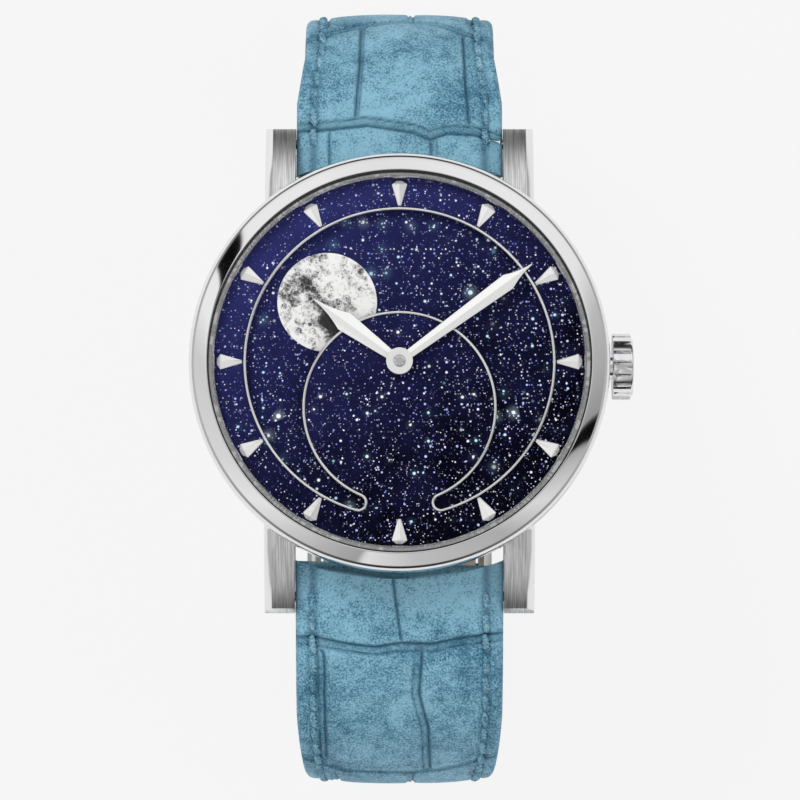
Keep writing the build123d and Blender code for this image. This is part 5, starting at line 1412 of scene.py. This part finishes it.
@dataclass
class Strap:
    """Both halves of the strap, their linings, stitches and keepers."""

    width: float = 19.9
    narrow: float = 16.0
    waist: float = 18.5
    waist_gap: float = 4.4
    waist_length: float = 5.4
    lining: float = 0.7
    lining_inset: float = 0.12
    end_radius: float = 31.1
    end_place: float = 20.4
    bar: float = -5.0
    bend: tuple = (35.0, 37.0)
    tail_gap: float = 0.25
    tail_reach: float = 9.0
    tip_radius: float = 4.0
    stitch_pitch: float = 2.1
    stitch_inset: float = 1.65
    stitch_length: float = 2.0
    stitch_start: float = 4.2
    stitch_slant: float = 7.0
    crown_least: float = 0.22
    crown_more: float = 0.75
    thread: float = 0.31
    rod: float = 1.15
    slot_side: float = 0.35
    hole_pitch: float = 6.0
    hole_radius: float = 0.8
    hole_depth: float = 3.4
    keeper_wall: float = 1.0
    keeper_corner: float = 0.9
    thick_places: tuple = (0, 0.08, 0.2, 0.35, 0.5, 0.65, 0.8, 0.9, 1)
    thick_shares: tuple = (1, 1, 0.92, 0.72, 0.48, 0.24, 0.06, 0, 0)
    upper_rows: tuple = (
        Groove(((-9.9, 23.3), (-6.6, 23.3), (-3.1, 23.6), (1.2, 22.9), (2.9, 22.2), (4.6, 22.8),
                (7.2, 22.8), (10.1, 22.1)), 0.42, 0.34, 0.8),
        Groove(((-3.8, 34.4), (-3.9, 30.0), (-4.3, 24.6)), 0.34, 0.3, 0.35),
        Groove(((6.2, 33.6), (6.4, 28.0), (6.7, 24.0)), 0.38, 0.34),
        Groove(((-6.8, 22.9), (-6.7, 18.0)), 0.3, 0.3),
        Groove(((3.0, 21.9), (3.1, 18.0)), 0.34, 0.3, 0.6),
        Groove(((-9.9, 33.3), (-9.1, 33.5), (-3.1, 34.8), (0.3, 35.3), (3.8, 35.0), (6.1, 34.0),
                (9.9, 33.5)), 0.42, 0.34, 0.8),
    )
    lower_rows: tuple = (
        Groove(((-0.7, 18.0), (-0.6, 20.7), (0.15, 26.2)), 0.36, 0.3),
        Groove(((-9.9, 26.1), (-7.9, 26.1), (-5.1, 26.6), (-2.4, 26.9), (0.1, 26.5), (3.1, 26.6),
                (5.8, 26.1), (9.9, 25.7)), 0.42, 0.34, 0.8),
        Groove(((-7.4, 27.4), (-7.2, 27.9), (-7.1, 37.6)), 0.34, 0.3, 0.6),
        Groove(((2.2, 27.0), (1.9, 31.3), (2.8, 34.5), (3.0, 38.3)), 0.36, 0.32, 0.7),
        Groove(((-9.9, 37.8), (-9.3, 38.0), (-5.2, 38.7), (0.3, 38.8), (4.0, 38.6), (9.9, 37.7)),
               0.42, 0.34, -0.8),
    )

    def __post_init__(self) -> None:
        """Works out both routes from the frame."""
        bars_low, bars_high = corners_of("spring_bars")
        upper_low, upper_high = corners_of("strap_upper")
        lower_low = corners_of("strap_lower")[0]
        height = (bars_low.z + bars_high.z) / 2
        place = bars_high.y - (bars_high.z - bars_low.z) / 2
        self.upper_route = Route(height, place, upper_high.y, upper_low.z, side_bend=self.bend)
        self.lower_route = Route(height, place, -lower_low.y, lower_low.z)
        self.stand = upper_low.z

    def seen_grooves(self, rows: tuple, points: np.ndarray, along: np.ndarray) -> list[Groove]:
        """Carries grooves that are placed in plan onto the strap's own length."""
        widest = int(np.argmax(points[:, 0]))
        out = []
        for groove in rows:
            xs, ys = zip(*groove.points)
            places = np.interp(ys, points[:widest, 0], along[:widest]).tolist()
            out.append(Groove(tuple(zip(xs, places)), groove.depth, groove.width, groove.double))
        return out

    def further_grooves(
        self, start: float, stop: float, first: float, last: float, seed: int
    ) -> list[Groove]:
        """Rows of scales by rule, growing shorter towards the buckle."""
        rng = np.random.default_rng(seed)
        out, place, odd = [], start, False
        side, count = 9.9, 9
        xs = np.linspace(-side, side, count)
        while place < stop:
            share = (place - start) / max(stop - start, 1.0)
            pitch = first + (last - first) * share
            wave = rng.uniform(-0.35, 0.35, count) + 0.5 * np.cos(xs / side * math.pi / 2)
            line = tuple(zip(xs.tolist(), (place + pitch + wave).tolist()))
            out.append(Groove(line, 0.38, 0.3, 0.65 if odd else -0.65))
            for middle in ((-4.2, 5.2) if odd else (-6.4, 1.4, 7.0)):
                x = middle + rng.uniform(-0.7, 0.7)
                drift = rng.uniform(-0.5, 0.5)
                line = ((x, place + 0.3), (x + drift, place + pitch / 2), (x + drift / 2, place + pitch))
                out.append(Groove(line, 0.3, 0.26, 0.5))
            place += pitch
            odd = not odd
        return out

    def thickness(self, route: Route, along: np.ndarray, foot: float) -> np.ndarray:
        """The strap's whole thickness along its length."""
        share = np.interp(along / foot, self.thick_places, self.thick_shares)
        return route.thin + (route.thick - route.thin) * share

    def half_widths(self, route: Route, heights: np.ndarray, foot_top: float) -> np.ndarray:
        """Half of the strap's width along its length, narrower towards the buckle."""
        share = np.clip((heights - foot_top) / (route.bar_height - route.thick - foot_top), 0, 1)
        return (self.narrow + (self.width - self.narrow) * share) / 2

    def half(
        self, name: str, node: str, route: Route, tail: list, rows: tuple, pitches: tuple, seed: int,
        stop: float, mirrored: bool = False,
    ) -> None:
        """Builds one half with its lining and stitches.

        Args:
            name: The half's name.
            node: The half's solid, whose lining has the same name with an ending.
            route: Its outer face.
            tail: The route past the foot's bend.
            rows: The grooves that show from the front.
            pitches: The first and the last pitch of the further scale rows.
            seed: The seed of those rows.
            stop: How far before the end the stitches stop.
            mirrored: It goes to six o'clock.
        """
        points, inward, foot = route.walk(tail)
        along = lengths(points)
        thick = self.thickness(route, along, foot)
        wide = self.half_widths(route, points[:, 1], self.stand + route.thin)
        if mirrored:
            past = np.clip(self.tip_radius - (along[-1] - along), 0, self.tip_radius)
            wide = wide - self.tip_radius + np.sqrt(self.tip_radius**2 - past**2)
        else:
            share = np.clip((points[:, 0] - route.bar_place - self.waist_gap) / self.waist_length, 0, 1)
            wide = np.minimum(wide, (self.width - (self.width - self.waist) * share) / 2)
        share = np.clip((thick - route.thin) / (route.thick - route.thin), 0, 1)
        seen = self.seen_grooves(rows, points, along)
        last = max(point[1] for groove in seen for point in groove.points)
        grooves = seen + self.further_grooves(last, along[-1], *pitches, seed)
        end = {"mirrored": mirrored, "end_radius": self.end_radius, "end_place": self.end_place}
        cover = Band(
            name, points, inward, thick - self.lining, wide, self.crown_least + self.crown_more * share,
            tuple(grooves), stitch_inset=self.stitch_inset, **end,
        )
        lining = Band(
            f"{name}_lining", points + inward * (thick - self.lining)[:, None], inward,
            np.full_like(thick, self.lining), wide - self.lining_inset, np.zeros_like(thick),
            corner=0.15, columns=24, **end,
        )
        for band, finish, solid in (
            (cover, Finish.BLUE_LEATHER, node), (lining, Finish.LINING, f"{node}_lining"),
        ):
            settle(self.pierced(band.build(), mirrored), finish, solid)
        lines = cover.stitch_lines(self.stitch_start, along[-1] - stop, f"{name}_stitches")
        pitch, slant = self.stitch_pitch * MM, math.radians(self.stitch_slant)
        stitch_tree().run(lines, Finish.THREAD, Pitch=pitch, Slant=slant, Item=self.stitch())
        settle(smooth(lines, 60))

    def stitch(self) -> bpy.types.Object:
        """One short twisted stitch with sunk ends, about the origin."""
        rings, sides = 25, 12
        work = bmesh.new()
        rows = []
        for ring in range(rings):
            share = ring / (rings - 1) * 2 - 1
            round_off = math.sqrt(max(1 - abs(share) ** 4.0, 0.03))
            sink = -abs(share) ** 4.0 * self.thread * 1.1
            row = []
            for angle in (2 * math.pi * side / sides for side in range(sides)):
                reach = self.thread * round_off * (1 + 0.26 * math.cos(3 * angle + share * 13))
                place = (share * self.stitch_length / 2, reach * math.cos(angle),
                         0.85 * reach * math.sin(angle) + sink)
                row.append(work.verts.new([part * MM for part in place]))
            rows.append(row)
        join(work, *rows)
        work.faces.new(rows[0])
        work.faces.new(rows[-1])
        return meshed(work, "stitch_item")

    def pierced(self, thing: bpy.types.Object, tail: bool) -> bpy.types.Object:
        """Cuts the tongue's slot, and in the tail the spare holes."""
        def at(along: float, height: float) -> Matrix:
            """The place of a hole in the middle of the strap."""
            return Matrix.Translation((0, along * MM, height * MM))

        foot = corners_of("strap_lower")[0].z
        tongue_low, tongue_high = corners_of("buckle_tongue")
        half = (tongue_high.x - tongue_low.x) / 2 + self.slot_side
        work = bmesh.new()
        if tail:
            neck = self.bar - 2 * self.rod
            start, stop, level, depth = neck - self.rod - 0.25, self.bar - self.rod / 2, 1.0, self.hole_depth
            for index in (-1, 1, 2, 3, 4):
                bmesh.ops.create_cone(
                    work, cap_ends=True, segments=28, radius1=self.hole_radius * MM,
                    radius2=self.hole_radius * MM, depth=depth * MM,
                    matrix=at(neck - self.rod / 2 + index * self.hole_pitch, foot + level),
                )
        else:
            start, stop, level, depth = self.bar - 3.0, self.bar + 2.3, 3.5, 3.0
        size = Matrix.Diagonal((2 * half * MM, (stop - start) * MM, depth * MM, 1))
        bmesh.ops.create_cube(work, size=1.0, matrix=at((start + stop) / 2, foot + level) @ size)
        return smooth(cut(thing, work), 50)

    def keeper(self, node: str) -> None:
        """A leather loop round both straps, crowned along its edges."""
        low, high = corners_of(node)
        corner = self.keeper_corner
        right, top, bottom = (high.x - low.x) / 2 - corner, high.z - corner, low.z + corner
        corners = ((right, top), (right, bottom), (-right, bottom), (-right, top))
        points, inward = [], []
        for index, spot in enumerate(corners):
            for step in range(9):
                angle = math.pi / 2 - (index + step / 8) * math.pi / 2
                way = np.array((math.cos(angle), math.sin(angle)))
                points.append(spot + corner * way)
                inward.append(-way)
            first, second = spot + corner * way, corners[(index + 1) % 4] + corner * way
            count = max(2, int(np.hypot(*(second - first)) / 0.4))
            for step in range(1, count):
                points.append(first + (second - first) * step / count)
                inward.append(-way)
        sizes = (np.full(len(points), size) for size in (self.keeper_wall, (high.y - low.y) / 2, 0.18))
        band = Band(
            f"{node}_look", np.array(points), np.array(inward), *sizes, closed=True, across_y=True,
            corner=0.3, columns=26,
        )
        thing = band.build()
        thing.data.transform(Matrix.Translation((0, (low.y + high.y) / 2 * MM, 0)))
        settle(thing, Finish.BLUE_LEATHER, node)

    def build(self) -> None:
        """Builds the strap."""
        upper, lower = self.upper_route, self.lower_route
        start = upper.foot_start()
        gap = self.tail_gap + upper.thin
        tail = [
            (lower.foot_start() + start, 0.0),
            (upper.foot_radius() + gap, 90 - self.bend[1]),
            (self.bend[0] + gap, math.degrees(self.tail_reach / (self.bend[0] + gap))),
        ]
        self.half("strap_to_buckle_look", "strap_upper", upper, [(start - self.bar, 0.0)],
                  self.upper_rows, (9.5, 7.0), 3, 6.0)
        self.half("strap_with_holes_look", "strap_lower", lower, tail,
                  self.lower_rows, (10.0, 6.5), 4, 3.0, True)
        self.keeper("fixed_keeper")
        self.keeper("free_keeper")


@dataclass
class Buckle:
    """The polished pin buckle."""

    edge: float = 0.16

    def build(self) -> None:
        """Dresses the frame, the tongue and the bar."""
        refined("buckle_frame", Finish.STEEL, self.edge, 40)
        refined("buckle_tongue", Finish.STEEL, self.edge, 40)
        refined("buckle_bar", Finish.STEEL)


@dataclass
class Studio:
    """The camera, the floor and the light."""

    elevation: float = 84.2
    distance: float = 420.0
    pixels: float = 800.0
    scale: float = 10.575
    hub_pixel: tuple = (399.5, 360.3)
    dial_level: float = 51.3
    white: float = 0.925
    zenith: float = 0.5
    horizon: float = 0.55
    horizon_dip: float = 0.52
    floor_size: float = 6.0
    floor_glow: float = 0.93
    sensor: float = 36.0
    ring: tuple = (
        (-180, 0.76), (-160, 0.82), (-144, 0.95), (-117, 0.55), (-103.6, 0.4), (-102.4, 0.9),
        (-84, 0.62), (-53, 0.5), (-36, 0.85), (-23, 0.62), (-16, 0.45), (-14.4, 0.004),
        (-7.2, 0.004), (-6.1, 0.36), (11, 0.5), (24, 0.6), (37, 0.95), (60, 1.0), (78, 0.98),
        (95, 0.92), (109, 1.0), (133.5, 1.0), (135, 0.004), (145, 0.004), (146, 1.0), (156, 1.0),
        (162, 0.84), (169, 0.72), (180, 0.76),
    )
    lamps: tuple = (
        ("key light", (-0.35, 0.45, 0.75), 0.35, 3.4),
        ("fill light", (0.55, -0.1, 0.6), 0.4, 1.0),
        ("low light", (0.0, -0.7, 0.35), 0.3, 1.0),
    )

    def camera(self) -> None:
        """A long lens nearly over the dial, leaning a little towards six o'clock."""
        lens = bpy.data.cameras.new("camera")
        lens.sensor_width = self.sensor
        lens.lens = self.sensor * self.distance / (self.pixels / self.scale)
        lens.clip_start, lens.clip_end = 0.01, 20.0
        middle, lean = self.pixels / 2, math.radians(self.elevation)
        right, up = ((middle - self.hub_pixel[0]) / self.scale, (self.hub_pixel[1] - middle) / self.scale)
        target = Vector((right, up / math.sin(lean), self.dial_level)) * MM
        back, side = Vector((0, -math.cos(lean), math.sin(lean))), Vector((1, 0, 0))
        turn = Matrix((side, back.cross(side), back)).transposed()
        thing = bpy.data.objects.new("camera", lens)
        thing.matrix_world = Matrix.Translation(target + back * self.distance * MM) @ turn.to_4x4()
        bpy.context.scene.collection.objects.link(thing)
        bpy.context.scene.camera = thing

    def floor(self) -> None:
        """A wide pale floor that keeps a soft shadow."""
        mesh = bpy.data.meshes.new("floor")
        far = self.floor_size
        corners = [(-far, -far, 0), (far, -far, 0), (far, far, 0), (-far, far, 0)]
        mesh.from_pydata(corners, [], [(0, 1, 2, 3)])
        graph = Graph("pale_floor")
        path = graph.node("ShaderNodeLightPath")
        seen = graph.maths("MAXIMUM", path.outputs["Is Camera Ray"], path.outputs["Is Transmission Ray"])
        matte = graph.node("ShaderNodeBsdfDiffuse", None, {"Color": (0.9, 0.9, 0.9, 1)})
        glow = graph.node("ShaderNodeEmission", None, {"Color": (*(self.white,) * 3, 1), "Strength": 1.0})
        inputs = {0: seen * self.floor_glow, 1: matte.outputs[0], 2: glow.outputs[0]}
        graph.close(graph.node("ShaderNodeMixShader", None, inputs))
        mesh.materials.append(graph.owner)
        link(mesh, "floor")

    def world(self) -> None:
        """A pale room: white to the camera, with darker stretches for the polished metal."""
        world = bpy.data.worlds.new("room")
        bpy.context.scene.world = world
        graph = Graph("room", world)
        x, y, z = graph.parts(graph.node("ShaderNodeTexCoord").outputs["Generated"])
        angle = graph.maths("ARCTAN2", y, x)
        stops = tuple(((place + 180) / 360, (shade,) * 3) for place, shade in self.ring)
        turn = angle / (2 * math.pi) + 0.5
        ring = graph.value("ShaderNodeValToRGB", {0: turn}, {"stops": stops})
        high = graph.range(z, 0.955, 0.985)
        low = graph.range(z, 0.72, 0.35)
        side = graph.maths("SINE", angle)
        horizon = self.horizon - side * side * self.horizon_dip
        level = ring * (1.0 - high) + high * self.zenith
        level = level * (1.0 - low) + low * horizon
        seen = graph.value("ShaderNodeLightPath", end="Is Camera Ray")
        strength = level * (1.0 - seen) + seen * self.white
        graph.close(graph.node("ShaderNodeBackground", None, {"Color": (1, 1, 1, 1), "Strength": strength}))

    def lamp(self, name: str, place: tuple, size: float, power: float) -> None:
        """A square soft lamp that looks at the watch."""
        light = bpy.data.lights.new(name, "AREA")
        light.size, light.energy = size, power
        thing = bpy.data.objects.new(name, light)
        thing.visible_glossy = False
        spot = Vector(place)
        thing.matrix_world = Matrix.Translation(spot) @ spot.to_track_quat("Z", "Y").to_matrix().to_4x4()
        bpy.context.scene.collection.objects.link(thing)

    def build(self) -> None:
        """Sets the stage."""
        self.camera()
        self.floor()
        self.world()
        for lamp in self.lamps:
            self.lamp(*lamp)
        bpy.context.scene.view_settings.view_transform = "Standard"


def main() -> None:
    """Builds every sub-assembly and the stage."""
    logging.basicConfig(level=logging.INFO, format="%(name)s: %(message)s")
    for assembly in (Head(), Face(), Works(), Strap(), Buckle()):
        log.info("building %s", type(assembly).__name__)
        assembly.build()
    Studio().build()


if __name__ == "__main__":
    main()
